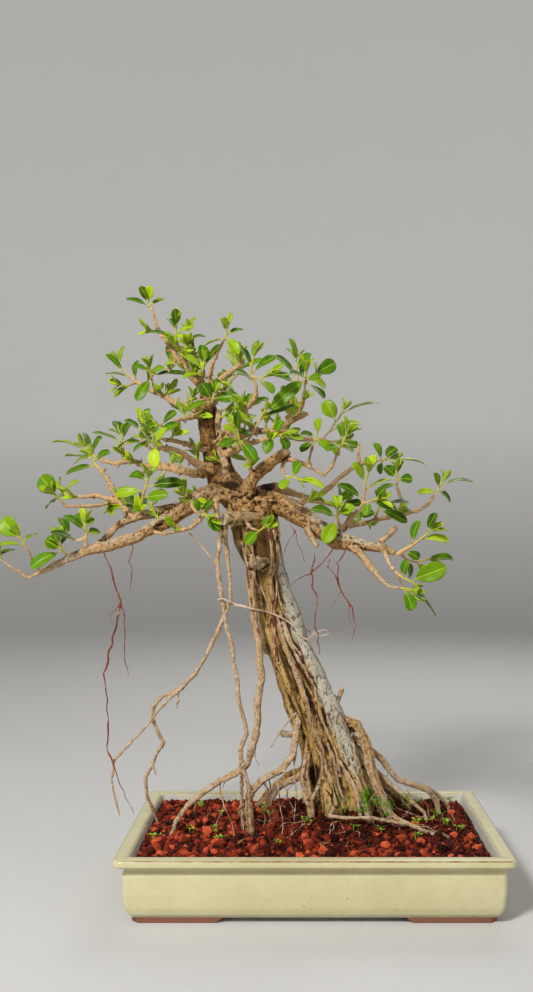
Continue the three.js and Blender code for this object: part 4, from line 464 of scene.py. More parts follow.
def refinish(node, finish):
    """A new finish for a CAD node that is shown as it is."""
    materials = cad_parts[node].data.materials
    materials.clear()
    materials.append(finish)


def applied(piece):
    """The piece's mesh with its modifiers, in place of its old one."""
    graph = bpy.context.evaluated_depsgraph_get()
    mesh = bpy.data.meshes.new_from_object(piece.evaluated_get(graph))
    piece.modifiers.clear()
    piece.data = mesh
    return mesh


def read(layer, key, width):
    """An array of one value or vector for each element of a mesh's layer."""
    values = np.empty(len(layer) * width)
    layer.foreach_get(key, values)
    return values.reshape(-1, width)


def arrays_of(mesh):
    """The points of a mesh, and its faces as lists."""
    return read(mesh.vertices, "co", 3), [list(polygon.vertices) for polygon in mesh.polygons]


def emptied(shape):
    """The points and faces of a work mesh, which is then freed."""
    shape.verts.index_update()
    points = np.array([vertex.co for vertex in shape.verts])
    faces = [[vertex.index for vertex in face.verts] for face in shape.faces]
    shape.free()
    return points, faces


def welded(node):
    """The points and triangles of a CAD node, each point once."""
    shape = bmesh.new()
    shape.from_mesh(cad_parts[node].data)
    bmesh.ops.remove_doubles(shape, verts=shape.verts, dist=0.002 * MM)
    return emptied(shape)


def tree_over(points, faces):
    """A search tree over faces."""
    return BVHTree.FromPolygons([tuple(point) for point in points], faces)


def fade(value, low, high):
    """0 below low, 1 above high, smooth between them. Low may lie above high."""
    share = np.clip((value - low) / (high - low), 0, 1)
    return share * share * (3 - 2 * share)


# Whole numbers that mix a lattice corner's three coordinates.
LATTICE = np.array((73856093, 19349663, 83492791))


def noise_at(points, scale, seed=0):
    """Smooth noise between -1 and 1 at each point, from random values at the corners of a lattice."""
    spot = np.asarray(points) * scale + seed * 37.3
    cell = np.floor(spot).astype(np.int64)
    part = spot - cell
    part = part * part * part * (part * (part * 6 - 15) + 10)
    total = np.zeros(len(spot))
    for corner in np.ndindex(2, 2, 2):
        key = ((cell + corner) * LATTICE).sum(axis=1) & 0x7FFFFFFF
        key = ((key ^ (key >> 15)) * 1274126177) & 0x7FFFFFFF
        key = ((key ^ (key >> 13)) * 974634777) & 0x7FFFFFFF
        weight = np.prod(np.where(corner, part, 1 - part), axis=1)
        total += weight * ((key >> 7) % 65536 / 32767.5 - 1)
    return total


def wander(points, scale, seed):
    """A smooth random vector at each point."""
    return np.stack([noise_at(points, scale, seed + axis) for axis in range(3)], axis=1)


# The plant is straight below the first height and bends freely above the second.
SWAY_HEIGHTS = (0.066, 0.12)
# Its broad and small bends: waves to the metre, seed and reach.
BENDS = ((38.0, 40, 0.0016), (95.0, 50, 0.0006))


def swayed(points):
    """The points of the plant, bent a little this way and that, so that nothing grows quite straight."""
    points = np.asarray(points, float).reshape(-1, 3)
    bend = sum(wander(points, scale, seed) * reach for scale, seed, reach in BENDS)
    return points + fade(points[:, 2], *SWAY_HEIGHTS)[:, None] * bend


class Heap:
    """Many small bodies gathered into one mesh."""

    def __init__(self):
        self.points, self.faces, self.tones, self.slots = [], [], [], []

    def add(self, points, faces, tone=(0, 0, 0, 1), slots=0):
        """Adds a body: one tone or a list of them for its points, one slot or a list for its faces."""
        start = len(self.points)
        self.points.extend(points)
        self.faces.extend([start + corner for corner in face] for face in faces)
        self.tones.extend(tone if isinstance(tone, list) else [tone] * len(points))
        self.slots.extend(slots if isinstance(slots, list) else [slots] * len(faces))

    def piece(self, name, materials, mark="tone", smooth=True, sway=False):
        points = swayed(self.points) if sway else self.points
        return mesh_of(name, points, self.faces, materials, self.slots, smooth, **{mark: self.tones})


def ball(detail):
    """Corners and faces of a round body made of triangles."""
    shape = bmesh.new()
    bmesh.ops.create_icosphere(shape, subdivisions=detail, radius=1)
    points, faces = emptied(shape)
    return [Vector(point) for point in points], faces


def loft(rings):
    """Corners and faces of a closed body through rings of as many corners."""
    count = len(rings[0])
    points = [point for ring in rings for point in ring]
    faces = []
    for low in range(0, len(points) - count, count):
        high = low + count
        for corner in range(count):
            following = (corner + 1) % count
            faces.append([low + corner, low + following, high + following, high + corner])
    faces.append(list(reversed(range(count))))
    faces.append([len(points) - count + corner for corner in range(count)])
    return points, faces


def cross_sections(path, side):
    """At each point of a path, two directions square to it that turn as little as they can."""
    for i, point in enumerate(path):
        along = (path[min(i + 1, len(path) - 1)] - path[max(i - 1, 0)]).normalized()
        side = (side - along * side.dot(along)).normalized()
        yield point, side, along.cross(side)


def tube(path, radii, sides):
    """Corners and faces of a closed round tube along a path."""
    turns = [2 * math.pi * corner / sides for corner in range(sides)]
    rings = []
    for (point, side, other), radius in zip(cross_sections(path, Vector((0.3, 1, 0.2))), radii):
        rings.append([point + (side * math.cos(turn) + other * math.sin(turn)) * radius for turn in turns])
    return loft(rings)


def tapered(path, thick, loss, sides=5):
    """A tube that loses a share of its thickness along its path."""
    return tube(path, [thick * (1 - loss * i / len(path)) for i in range(len(path))], sides)


def pointing(angle, rise=0.0):
    """The level direction at an angle, raised."""
    return Vector((math.cos(angle), math.sin(angle), rise))


def random_spin(draw):
    """A random turn about a random axis."""
    return Quaternion(Vector((draw.gauss(0, 1), draw.gauss(0, 1), draw.gauss(0, 1))).normalized(),
                      draw.uniform(0, TURN))


# The tray from its underside up to the rim, then down the inside: how far in from the rim, and height, in mm.
TRAY_PROFILE = (
    (15, 5), (11.5, 8.5), (9, 15), (7.8, 28), (7.5, 44), (9.5, 49.6), (2.5, 52), (0, 53.4),
    (0, 58.4), (1.8, 60), (12, 60), (14, 58.4), (16.5, 48), (21, 14), (24, 11),
)
TRAY_HALF = (POT_HIGH - POT_LOW) / 2
TRAY_INNER_CORNER = 0.005
TRAY_CORNER_STEPS = 10
CORNERS = ((1, 1), (-1, 1), (-1, -1), (1, -1))
DRAIN = {"x": 0.086, "radius": 0.013}
FOOT = {
    "inset": 0.015, "long": 0.084, "short": 0.062, "thick": 0.017,
    "height": 0.006, "slope": 0.008, "chamfer": 0.006,
}


def softened(profile, reach, steps=3):
    """A profile whose corners are rounded with short curves."""
    points = [Vector(point) * MM for point in profile]
    soft = [points[0]]
    for before, corner, after in zip(points, points[1:], points[2:]):
        size = min(reach, (corner - before).length * 0.45, (after - corner).length * 0.45)
        start = corner + (before - corner).normalized() * size
        end = corner + (after - corner).normalized() * size
        for step in range(steps + 1):
            share = step / steps
            soft.append(start.lerp(corner, share).lerp(corner.lerp(end, share), share))
    return soft + [points[-1]]


def tray_ring(inset, height, corner):
    """The tray's rounded outline at a height, set in from the rim's edge."""
    radius = max(corner - inset, TRAY_INNER_CORNER)
    reach = inset + radius
    ring = []
    for quarter, (side_x, side_y) in enumerate(CORNERS):
        middle = POT_MIDDLE + Vector((side_x * (TRAY_HALF.x - reach), side_y * (TRAY_HALF.y - reach), height))
        for step in range(TRAY_CORNER_STEPS + 1):
            ring.append(middle + radius * pointing((quarter + step / TRAY_CORNER_STEPS) * math.pi / 2))
    return ring


def drilled(piece):
    """Cuts the two drain holes through the piece."""
    for side in (-1, 1):
        shape = bmesh.new()
        bmesh.ops.create_cone(
            shape, cap_ends=True, segments=40, radius1=DRAIN["radius"], radius2=DRAIN["radius"], depth=0.1
        )
        drill = mesh_of("drill", *emptied(shape))
        drill.location = POT_MIDDLE + Vector((side * DRAIN["x"], 0, 0))
        cut = piece.modifiers.new("drain", "BOOLEAN")
        cut.operation = "DIFFERENCE"
        cut.solver = "EXACT"
        cut.object = drill
        bpy.context.view_layer.update()
        applied(piece)
        bpy.data.objects.remove(drill)


def foot_outline(side_x, side_y, height, shorten):
    """An L-shaped foot's outline at a height."""
    x = TRAY_HALF.x - FOOT["inset"]
    y = TRAY_HALF.y - FOOT["inset"]
    end_x, end_y = x - FOOT["long"] + shorten, y - FOOT["short"] + shorten
    inner_x, inner_y = x - FOOT["thick"], y - FOOT["thick"]
    corner = FOOT["chamfer"]
    outline = [(x, end_y), (x, y - corner), (x - corner, y), (end_x, y), (end_x, inner_y), (inner_x, inner_y),
               (inner_x, end_y)]
    ring = [POT_MIDDLE + Vector((side_x * px, side_y * py, height)) for px, py in outline]
    return ring if side_x * side_y > 0 else list(reversed(ring))


# Edges of the rim where the glaze runs thin: how far in, height and reach in mm, and strength.
THIN_EDGES = ((0.5, 59.4, 1.5, 1.0), (12.6, 59.6, 1.5, 0.5), (0.8, 52.9, 1.6, 0.35))
THIN_CORE = 0.6


def glaze_tones(points):
    """Where the glaze runs thin, where lime crusts the inner walls, and where the foot's edge is worn."""
    away = np.array(TRAY_HALF) - np.abs(points - np.array(POT_MIDDLE))
    inset = np.minimum(away[:, 0], away[:, 1]) / MM
    height = points[:, 2] / MM
    edges = [
        share * fade(np.hypot(inset - edge_in, height - edge_height), reach, THIN_CORE)
        for edge_in, edge_height, reach, share in THIN_EDGES
    ]
    crust = fade(inset, 12.5, 14) * fade(height, 60, 58)
    foot = fade(height, 9, 5.5) * fade(inset, 20, 12)
    return np.stack((np.max(edges, axis=0), crust, foot, np.ones(len(points))), axis=1)


class BONSAI_OT_pot(bpy.types.Operator):
    """Make the glazed tray with its clay feet"""

    bl_idname = "bonsai.pot"
    bl_label = "Pot"

    def execute(self, context):
        look = context.scene.bonsai_pot
        profile = softened(TRAY_PROFILE, look.soften)
        rings = [tray_ring(inset, height, look.corner) for inset, height in profile]
        shell = mesh_of("tray_shell", *loft(rings))
        drilled(shell)
        points, faces = arrays_of(shell.data)
        bpy.data.objects.remove(shell)
        bowl = mesh_of("glazed_tray", points, faces, [glaze_finish(look)], tone=glaze_tones(points))
        bowl.data.set_sharp_from_angle(angle=math.radians(40))
        ride(bowl, "glaze", "pot")

        heap = Heap()
        for side_x, side_y in CORNERS:
            low = foot_outline(side_x, side_y, 0, FOOT["slope"])
            high = foot_outline(side_x, side_y, FOOT["height"], 0)
            heap.add(*loft([low, high]))
        feet = heap.piece("clay_feet", [clay_finish(look)], smooth=False)
        bevel = feet.modifiers.new("worn_edges", "BEVEL")
        bevel.width = 0.0008
        bevel.segments = 2
        bevel.limit_method = "ANGLE"
        applied(feet)
        ride(feet, "glaze")
        for side in ("left", "right"):
            refinish("drain_screen_" + side, net_finish(look))
        return {"FINISHED"}


SOIL_TREE = tree_over(*welded("soil"))
WOOD_TREE = tree_over(*welded("trunk"))
SOIL_LOW, SOIL_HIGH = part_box("soil")
SOIL_HALF = (SOIL_HIGH - SOIL_LOW) / 2
# Deeper than this below its top, or steeper, the soil is the wall of a hole for the wood.
SOIL_DIP = 0.036
SOIL_LEVEL = 0.4
# Where the trunk's foot stands in the soil.
TRUNK_FOOT = POT_MIDDLE + Vector((0.034, 0.030, 0.06))
# How far the humus reaches from it, across and in depth.
HUMUS_REACH = (0.085, 0.075)


def ground(x, y):
    """The soil's surface under a point in plan, or nothing over the holes for the wood."""
    hit, normal, _, _ = SOIL_TREE.ray_cast(Vector((x, y, SOIL_HIGH.z + 0.05)), Vector((0, 0, -1)))
    if hit is None or hit.z < SOIL_HIGH.z - SOIL_DIP or normal.z < SOIL_LEVEL:
        return None
    return hit


def seen(tree, across, down):
    """What is seen of a search tree's faces at a pixel: place, normal, face and distance."""
    return tree.ray_cast(EYE, sight_line(across, down).normalized())


def first_seen(across, down):
    """The nearest spot of soil or wood seen at a pixel, and its normal, or nothing."""
    found = [seen(tree, across, down) for tree in (SOIL_TREE, WOOD_TREE)]
    hits = [hit for hit in found if hit[0] is not None]
    return min(hits, key=lambda hit: hit[3])[:2] if hits else (None, None)


def off_wood(point, radius):
    return WOOD_TREE.find_nearest(point)[3] > radius


def clamped(value):
    return max(0, min(1, value))


def humus_share(point):
    """How much humus lies at a point: much round the trunk's foot and to its right, little at the left."""
    away = math.hypot((point.x - TRUNK_FOOT.x) / HUMUS_REACH[0], (point.y - TRUNK_FOOT.y) / HUMUS_REACH[1])
    right = 0.35 * clamped((point.x - POT_MIDDLE.x + 0.02) / 0.1)
    front = clamped((point.y - POT_LOW.y) / 0.08)
    return clamped(math.exp(-away * away) + right * front)


# Layers of grains: spacing in parts of the grit size, lift in parts of a radius, the share of their tone kept
# (the lower layer is darkened as painted shade), share left out.
GRIT_LAYERS = ((0.86, 0.0, 0.5, 0.0), (1.12, 0.6, 1, 0.42))
# What a grain's tone, from the darkest to the palest, and its size are drawn from.
GRIT_TONES = (0.0, 0.04, 0.10, 0.32, 0.48, 0.58, 0.70, 0.88, 1.0, 1.0)
GRIT_SIZES = (0.5, 0.7, 0.85, 1.0, 1.15, 1.35, 1.6)
# How far a grain strays from its grid, and how far its corners stand out.
GRIT_STRAY = 0.45
GRIT_CORNERS = (0.66, 1.26)
# A body with one corner on each side along the axes.
DIAMOND = ((1, 0, 0), (0, 1, 0), (-1, 0, 0), (0, -1, 0), (0, 0, 1), (0, 0, -1))
DIAMOND_FACES = [[0, 1, 4], [1, 2, 4], [2, 3, 4], [3, 0, 4], [1, 0, 5], [2, 1, 5], [3, 2, 5], [0, 3, 5]]


def within_soil(point, margin):
    away = point - POT_MIDDLE
    return abs(away.x) < SOIL_HALF.x - margin and abs(away.y) < SOIL_HALF.y - margin


def scatter_grit(look, draw):
    """Lava grains laid over the soil on a shaken grid, then some on top of them."""
    heap = Heap()
    corners, faces = ball(1)
    for pitch, lift, shade, left_out in GRIT_LAYERS:
        step = look.grit_size * pitch
        cells = np.ndindex(int((SOIL_HIGH.x - SOIL_LOW.x) / step), int((SOIL_HIGH.y - SOIL_LOW.y) / step))
        for column, row in cells:
            x = SOIL_LOW.x + (column + 0.5 + draw.uniform(-GRIT_STRAY, GRIT_STRAY)) * step
            y = SOIL_LOW.y + (row + 0.5 + draw.uniform(-GRIT_STRAY, GRIT_STRAY)) * step
            radius = look.grit_size / 2 * (draw.choice(GRIT_SIZES) * draw.uniform(0.85, 1.1))
            # Painted shade: the grains of the lower layer are darkened by their layer's share.
            tone = (draw.choice(GRIT_TONES) + draw.uniform(0, 0.1)) * shade
            spin = random_spin(draw)
            bumps = [draw.uniform(*GRIT_CORNERS) for _ in corners]
            flat = Vector((1, draw.uniform(0.75, 1), draw.uniform(0.6, 0.9)))
            spot = ground(x, y)
            if spot is None:
                continue
            dark = humus_share(spot)
            if draw.random() < left_out + 0.55 * dark:
                continue
            middle = spot + Vector((0, 0, radius * lift))
            if not within_soil(middle, radius * 0.6) or not off_wood(middle, radius * 0.75):
                continue
            grain = [middle + spin @ (corner * bump * flat) * radius for corner, bump in zip(corners, bumps)]
            heap.add(grain, faces, (tone, max(0, dark - 0.35) * draw.random(), 0, 1))
    return heap


def scatter_crumbs(look, draw):
    """Small dark crumbs of humus and broken grit in the gaps."""
    heap = Heap()
    margin = 0.002
    for _ in range(look.crumbs):
        x = draw.uniform(SOIL_LOW.x + margin, SOIL_HIGH.x - margin)
        y = draw.uniform(SOIL_LOW.y + margin, SOIL_HIGH.y - margin)
        radius = draw.uniform(0.0007, 0.0025)
        lift = draw.uniform(0.1, 1.6) * radius
        tone = draw.random()
        keep = draw.random()
        spin = random_spin(draw)
        spot = ground(x, y)
        if spot is None:
            continue
        dark = humus_share(spot)
        if keep > 0.25 + dark or not off_wood(spot, 0.0008):
            continue
        middle = spot + Vector((0, 0, lift + 0.0012 * dark))
        crumb = [middle + spin @ (Vector(corner) * draw.uniform(0.6, 1.2)) * radius for corner in DIAMOND]
        heap.add(crumb, DIAMOND_FACES, (tone * 0.6, 0.1 + 0.85 * dark * draw.random() ** 0.6, 0, 1))
    return heap


class BONSAI_OT_soil(bpy.types.Operator):
    """Lay the lava grit and the humus crumbs on the soil"""

    bl_idname = "bonsai.soil"
    bl_label = "Soil"

    def execute(self, context):
        look = context.scene.bonsai_soil
        draw = random.Random(11)
        refinish("soil", humus_finish(look))
        finish = grit_finish(look)
        for name, scatter in (("lava_grit", scatter_grit), ("humus_crumbs", scatter_crumbs)):
            ride(scatter(look, draw).piece(name, [finish], smooth=False), "soil")
        return {"FINISHED"}


# Moss patches seen at a pixel: across, down, half width and half height in pixels, number of sprigs.
MOSS = (
    (368, 795, 6, 12, 1200), (375, 802, 7, 5, 460), (391, 805, 7, 4, 260), (404, 799, 8, 4, 130),
    (384, 814, 9, 3, 120), (362, 811, 6, 3, 60), (341, 800, 8, 4, 70), (316, 781, 4, 6, 110),
    (424, 803, 8, 4, 80),
)
# Moss doesn't climb the wood above this height.
MOSS_TOP = 0.092
# Seedlings, each at a pixel.
SEEDLINGS = (
    (155, 842), (192, 834), (198, 810), (201, 812), (216, 835), (219, 843), (222, 819), (233, 798),
    (242, 817), (246, 822), (262, 812), (264, 818), (271, 799), (272, 819), (276, 847), (303, 822),
    (308, 826), (343, 816), (350, 825), (360, 815), (365, 820), (354, 833), (378, 835), (392, 789),
    (404, 788), (404, 811), (408, 812), (413, 807), (417, 828), (428, 826), (438, 819), (445, 829),
    (450, 806), (461, 833), (415, 843),
)
# Loose twig bits: from pixel, to pixel, radius in mm, lift in mm.
LITTER = (
    ((238, 847), (247, 842), 0.9, 3.2), ((447, 812), (456, 826), 0.8, 3.4),
    ((283, 776), (302, 789), 1.3, 3.5), ((292, 777), (302, 775), 0.9, 4.0),
    ((330, 828), (344, 824), 0.7, 3.4), ((428, 834), (446, 838), 0.8, 3.4),
    ((398, 824), (410, 818), 0.6, 3.6), ((205, 822), (212, 816), 0.6, 3.5),
)
UP = Vector((0, 0, 1))


def strayed(draw, reach):
    """A random level offset."""
    return Vector((draw.uniform(-reach, reach), draw.uniform(-reach, reach), 0))


def sprig(foot, height, lean, radius):
    """A tiny three-sided spike."""
    ring = [foot + pointing(angle) * radius for angle in (0, 2.09, 4.19)]
    return ring + [foot + (lean + UP).normalized() * height], [[0, 1, 3], [1, 2, 3], [2, 0, 3], [2, 1, 0]]


def small_leaf(foot, way, length):
    """A tiny closed leaf: a point at each end and side, above and below."""
    width = length * 0.72
    side = way.cross(UP).normalized() * width / 2
    middle = foot + way * length * 0.55
    swell = UP * width * 0.08
    return [foot, middle + side, foot + way * length, middle - side, middle + swell, middle - swell * 2]


def grow_moss(draw):
    moss = Heap()
    for across, down, half_width, half_height, count in MOSS:
        for _ in range(count):
            x = across + draw.gauss(0, 0.5) * half_width
            y = down + draw.gauss(0, 0.5) * half_height
            spot, normal = first_seen(x, y)
            height = draw.uniform(0.0014, 0.0036)
            lean = strayed(draw, 0.6)
            lift = draw.uniform(0.0, 0.0034)
            tone = 0.75 * draw.random() ** 2
            if spot is None or spot.z > MOSS_TOP:
                continue
            level = fade(normal.z, 0.3, 0.8)
            foot = spot + UP * (lift * level) - normal * 0.0002
            moss.add(*sprig(foot, height, lean + normal * (1 - level), 0.0006), (tone, 0, 0, 1))
    return moss


def grow_seedlings(draw):
    plants = Heap()
    for pixel in SEEDLINGS:
        spot = seen(SOIL_TREE, *pixel)[0]
        if spot is None:
            continue
        for _ in range(draw.choice((2, 2, 3, 4))):
            foot = spot + strayed(draw, 0.004) + UP * 0.001
            head = foot + strayed(draw, 0.001) + UP * draw.uniform(0.004, 0.0075)
            plants.add(*tube([foot, head], [0.0003, 0.00022], 4), (0.3, 0, 0, 1))
            turn = draw.uniform(0, TURN)
            count = draw.choice((2, 3, 4))
            for leaf in range(count):
                way = pointing(turn + leaf * 2 * math.pi / count, draw.uniform(0.1, 0.7)).normalized()
                points = small_leaf(head, way, draw.uniform(0.0030, 0.0056))
                plants.add(points, DIAMOND_FACES, (draw.random(), 0, 0, 1))
    return plants


def drop_twig_bits():
    bits = Heap()
    for start, end, radius, lift in LITTER:
        first, last = seen(SOIL_TREE, *start)[0], seen(SOIL_TREE, *end)[0]
        if first is None or last is None:
            continue
        rise = UP * (lift * MM)
        path = [first + rise, (first + last) / 2 + rise + UP * 0.0012, last + rise]
        bits.add(*tube(path, [radius * MM, radius * MM, 0.7 * radius * MM], 6), (0.2, 0.3, 0.8, 0.2))
    return bits


class BONSAI_OT_ground_plants(bpy.types.Operator):
    """Grow the moss and the seedlings, and drop the twig bits"""

    bl_idname = "bonsai.ground_plants"
    bl_label = "Moss and seedlings"

    def execute(self, context):
        look = context.scene.bonsai_soil
        draw = random.Random(23)
        ride(grow_moss(draw).piece("moss", [plant_finish("moss", look.moss, look.seedling)]), "leaf")
        finish = plant_finish("seedling", look.seedling, look.moss)
        ride(grow_seedlings(draw).piece("seedlings", [finish]), "leaf")
        ride(drop_twig_bits().piece("twig_bits", [bark_finish(context.scene.bonsai_wood)]), "bark")
        return {"FINISHED"}


def relax(points, edges, steps, inward=0.5, outward=-0.53):
    """Smooths points along edges, and keeps their volume."""
    count = np.bincount(edges.ravel(), minlength=len(points)).astype(float)
    count[count == 0] = 1
    for _ in range(steps):
        for amount in (inward, outward):
            mean = np.empty_like(points)
            for axis in range(3):
                ends = points[:, axis][edges]
                mean[:, axis] = np.bincount(
                    np.concatenate((edges[:, 0], edges[:, 1])),
                    weights=np.concatenate((ends[:, 1], ends[:, 0])),
                    minlength=len(points),
                )
            mean /= count[:, None]
            points = points + (mean - points) * amount
    return points


def fine_skin(points, faces, cell, steps):
    """A closed surface in even small faces, smoothed: points, faces, point normals and edges."""
    source = mesh_of("source", points, faces)
    remesh = source.modifiers.new("cells", "REMESH")
    remesh.mode = "VOXEL"
    remesh.voxel_size = cell
    mesh = applied(source)
    points, faces = arrays_of(mesh)
    edges = read(mesh.edges, "vertices", 2).astype(np.int64)
    points = relax(points, edges, steps)
    mesh.vertices.foreach_set("co", points.ravel())
    mesh.update()
    normals = read(mesh.vertex_normals, "vector", 3)
    bpy.data.objects.remove(source)
    return points, faces, normals, edges


def wood_under(points, most):
    """How thick the solid wood is under each point, and how far the point stands out from it."""
    thick = np.full(len(points), most)
    proud = np.zeros(len(points))
    for i, place in enumerate(points):
        point = Vector(place)
        spot, normal, _, away = WOOD_TREE.find_nearest(point)
        proud[i] = math.copysign(away, (point - spot).dot(normal))
        depth = WOOD_TREE.ray_cast(spot - normal * 0.0001, -normal, most)[3]
        if depth is not None:
            thick[i] = depth
    return thick, proud


# The steps that even the bark out, and the depth from a ridge to a hollow, for the painted shade in the
# bark's hollows and the painted highlight on its ridges.
EVEN_STEPS = 8
HOLLOW_DEPTH = 0.0011


def hollow_share(points, edges, normals):
    """1 in a hollow of the bark, 0 on a ridge, a half where it is flat: the measure of the painted shade in
    hollows and the painted highlight on ridges.
    """
    even = relax(points, edges, EVEN_STEPS, outward=0.5)
    rise = ((even - points) * normals).sum(axis=1)
    return np.clip(0.5 + rise / HOLLOW_DEPTH, 0, 1)


# The grey strand down the trunk's right side: across and down at each bend, and its half width.
GREY_STRAND = np.array((
    (278, 552, 5), (286, 590, 8), (295, 622, 9), (308, 655, 10), (321, 685, 11), (334, 712, 11),
    (345, 738, 12), (356, 765, 9),
))
# The trunk's middle line: across and down at each bend.
TRUNK_AXIS = np.array((
    (252, 500), (257, 540), (272, 600), (286, 640), (303, 680), (319, 715), (333, 745), (345, 795),
))
# A groove down the trunk's front, painted dark as shade.
GROOVE = np.array(((276, 640), (293, 690), (309, 735)))
# Ovals seen on the wood: across, down, half width, half height, and where each fades, in parts of these. The
# collar is painted shadow under the fork; the hollow and the cavity are painted shade.
OVALS = {
    "stub": (236, 518, 17, 7, 1.05, 0.9),
    "knob": (259, 563, 11, 8, 1.05, 0.85),
    "collar": (262, 540, 16, 20, 1.1, 0.7),
    "scar": (268, 487, 7.5, 4.2, 1.1, 0.8),
    "hollow": (230, 486, 10, 4.5, 1.15, 0.7),
    "cavity": (315, 775, 5, 11, 1.2, 0.8),
}
# How far the trunk leans to the left and to the front for each unit of height.
LEAN = (0.35, 0.12)
# Round burls under the fork and on the stub and the knob, seen at a pixel: across, down, radius in mm.
BURLS = (
    (258, 491, 5.0), (264, 498, 4.4), (257, 500, 4.2), (270, 499, 4.8), (265, 505, 4.0), (273, 506, 3.8),
    (259, 508, 3.8), (279, 503, 3.4), (244, 500, 3.6), (250, 561, 3.0), (262, 566, 2.8), (266, 559, 2.6),
    (247, 511, 3.0), (349, 727, 3.4), (230, 499, 3.8), (276, 493, 3.6), (262, 512, 3.4), (252, 494, 3.8),
    (236, 507, 3.8), (222, 503, 3.0), (214, 489, 3.0), (289, 511, 3.0), (303, 519, 3.2), (297, 508, 2.8),
    (251, 563, 5.4), (257, 558, 4.8), (260, 565, 5.2), (267, 561, 5.0), (263, 570, 4.0),
    (228, 516, 3.4), (235, 521, 3.2), (240, 514, 3.6), (247, 520, 3.4), (232, 512, 2.8),
)
# Thin roots that cling to the trunk's front, each seen at its pixels, and its radius in mm.
CLINGING_ROOTS = (
    (((275, 528), (271, 548), (273, 566), (277, 584), (281, 604), (287, 622)), 1.3),
    (((278, 520), (281, 540), (276, 560), (272, 580), (274, 600)), 1.1),
    (((246, 532), (252, 552), (254, 574), (260, 590), (262, 606)), 1.2),
    (((240, 540), (246, 558), (250, 580), (254, 596)), 1.0),
    (((283, 618), (291, 640), (303, 658), (312, 676)), 0.9),
    (((280, 612), (286, 634), (296, 655), (309, 681)), 0.9),
    (((288, 660), (298, 680), (306, 700), (310, 716)), 0.9),
    (((312, 700), (322, 716), (330, 736), (338, 756), (341, 776)), 1.2),
    (((303, 690), (309, 710), (314, 732), (321, 748), (322, 766), (320, 784), (312, 800)), 1.8),
    (((328, 742), (334, 762), (338, 784), (344, 802)), 1.4),
    (((306, 760), (303, 776), (304, 792), (308, 806)), 2.0),
    (((320, 752), (327, 770), (333, 790), (336, 806)), 1.6),
    (((340, 760), (350, 776), (357, 792), (362, 806)), 1.5),
    (((331, 716), (340, 722), (346, 730)), 1.2),
    (((352, 742), (358, 760), (364, 778), (372, 794)), 1.7),
)
# Cut faces: across, down, depth and radius of the cream round.
CUT_FACES = (
    (223, 518.5, -30, 6.4), (152, 525, -30, 3.4), (308, 413, 14, 3), (298, 431, 8, 2.6), (243, 361, -32, 3),
    (342, 686, 16, 3), (281, 733, 14, 4.2), (318, 546, -22, 3.4), (396, 527, -20, 2.8), (287, 448, -27, 5.4),
)
# What grows at random places: number, least and most thickness of the wood, highest and lowest pixel.
BUD_PEGS = (170, 0.0028, 0.009, 280, 545)
ROOTLETS = (28, 0.002, 0.009, 752, 792)
SPROUTS = ((64, 0.0026, 0.008, 280, 530), (40, 0.0026, 0.008, 320, 430))


def spots_on_wood(draw, count, thin, thick, top, bottom):
    """Random places on wood of a thickness, between two pixel heights: the spot and its normal."""
    points, faces = welded("trunk")
    corners = points[np.array(faces)]
    size = np.linalg.norm(np.cross(corners[:, 1] - corners[:, 0], corners[:, 2] - corners[:, 0]), axis=1)
    down = sheet_places(corners.mean(axis=1))[1]
    size[(down < top) | (down > bottom)] = 0
    reach = np.cumsum(size / size.sum())
    spots = []
    while len(spots) < count:
        first, second, third = corners[np.searchsorted(reach, draw.random())]
        along, across = draw.random(), draw.random()
        if along + across > 1:
            along, across = 1 - along, 1 - across
        point = Vector(first + (second - first) * along + (third - first) * across)
        normal = Vector(np.cross(second - first, third - first)).normalized()
        hit = WOOD_TREE.ray_cast(point - normal * 0.0002, -normal, 0.05)
        if hit[0] is not None and thin < hit[3] < thick:
            spots.append((point, normal))
    return spots


def trunk_share(points, thickness):
    """1 on the trunk below the fork, 0 on limbs and roots."""
    across, down, _ = sheet_places(points)
    off_axis = np.abs(across - np.interp(down, TRUNK_AXIS[:, 1], TRUNK_AXIS[:, 0]))
    return fade(off_axis, 46, 34) * fade(down, 505, 530) * fade(thickness, 0.008, 0.014)


def along_grain(points):
    """Coordinates that run with the leaning trunk, for streaks that follow its strands."""
    return np.stack((
        points[:, 0] + LEAN[0] * points[:, 2],
        points[:, 1] + LEAN[1] * points[:, 2],
        points[:, 2] * 0.05,
    ), axis=1)


def bark_relief(points, thickness, trunk):
    """How far each point of the bark stands out, in parts of the relief."""
    grain = along_grain(points + wander(points, 34.0, 60) * 0.003)
    thick = fade(thickness, 0.004, 0.014)
    strand = noise_at(grain, 170.0, 3)
    crease = fade(np.abs(noise_at(grain, 115.0, 4)), 0.10, 0.0) * fade(noise_at(points, 32.0, 12), -0.2, 0.2)
    fine = noise_at(grain, 430.0, 5)
    lump = noise_at(points, 90.0, 6)
    knot = noise_at(points, 210.0, 7)
    rough = noise_at(points, 520.0, 8)
    rise = trunk * (1.05 * strand + 0.55 * fine - 1.6 * crease + 0.35 * knot)
    rise += (1 - trunk) * thick * (0.85 * knot + 0.7 * rough)
    return rise + (0.4 + 0.6 * thick) * lump + (1 - thick) * (0.65 * knot + 0.25 * rough)


def in_oval(across, down, middle_across, middle_down, half_width, half_height, outer, inner):
    """1 inside an oval in the picture, fading out at its rim."""
    away = np.hypot((across - middle_across) / half_width, (down - middle_down) / half_height)
    return fade(away, outer, inner)


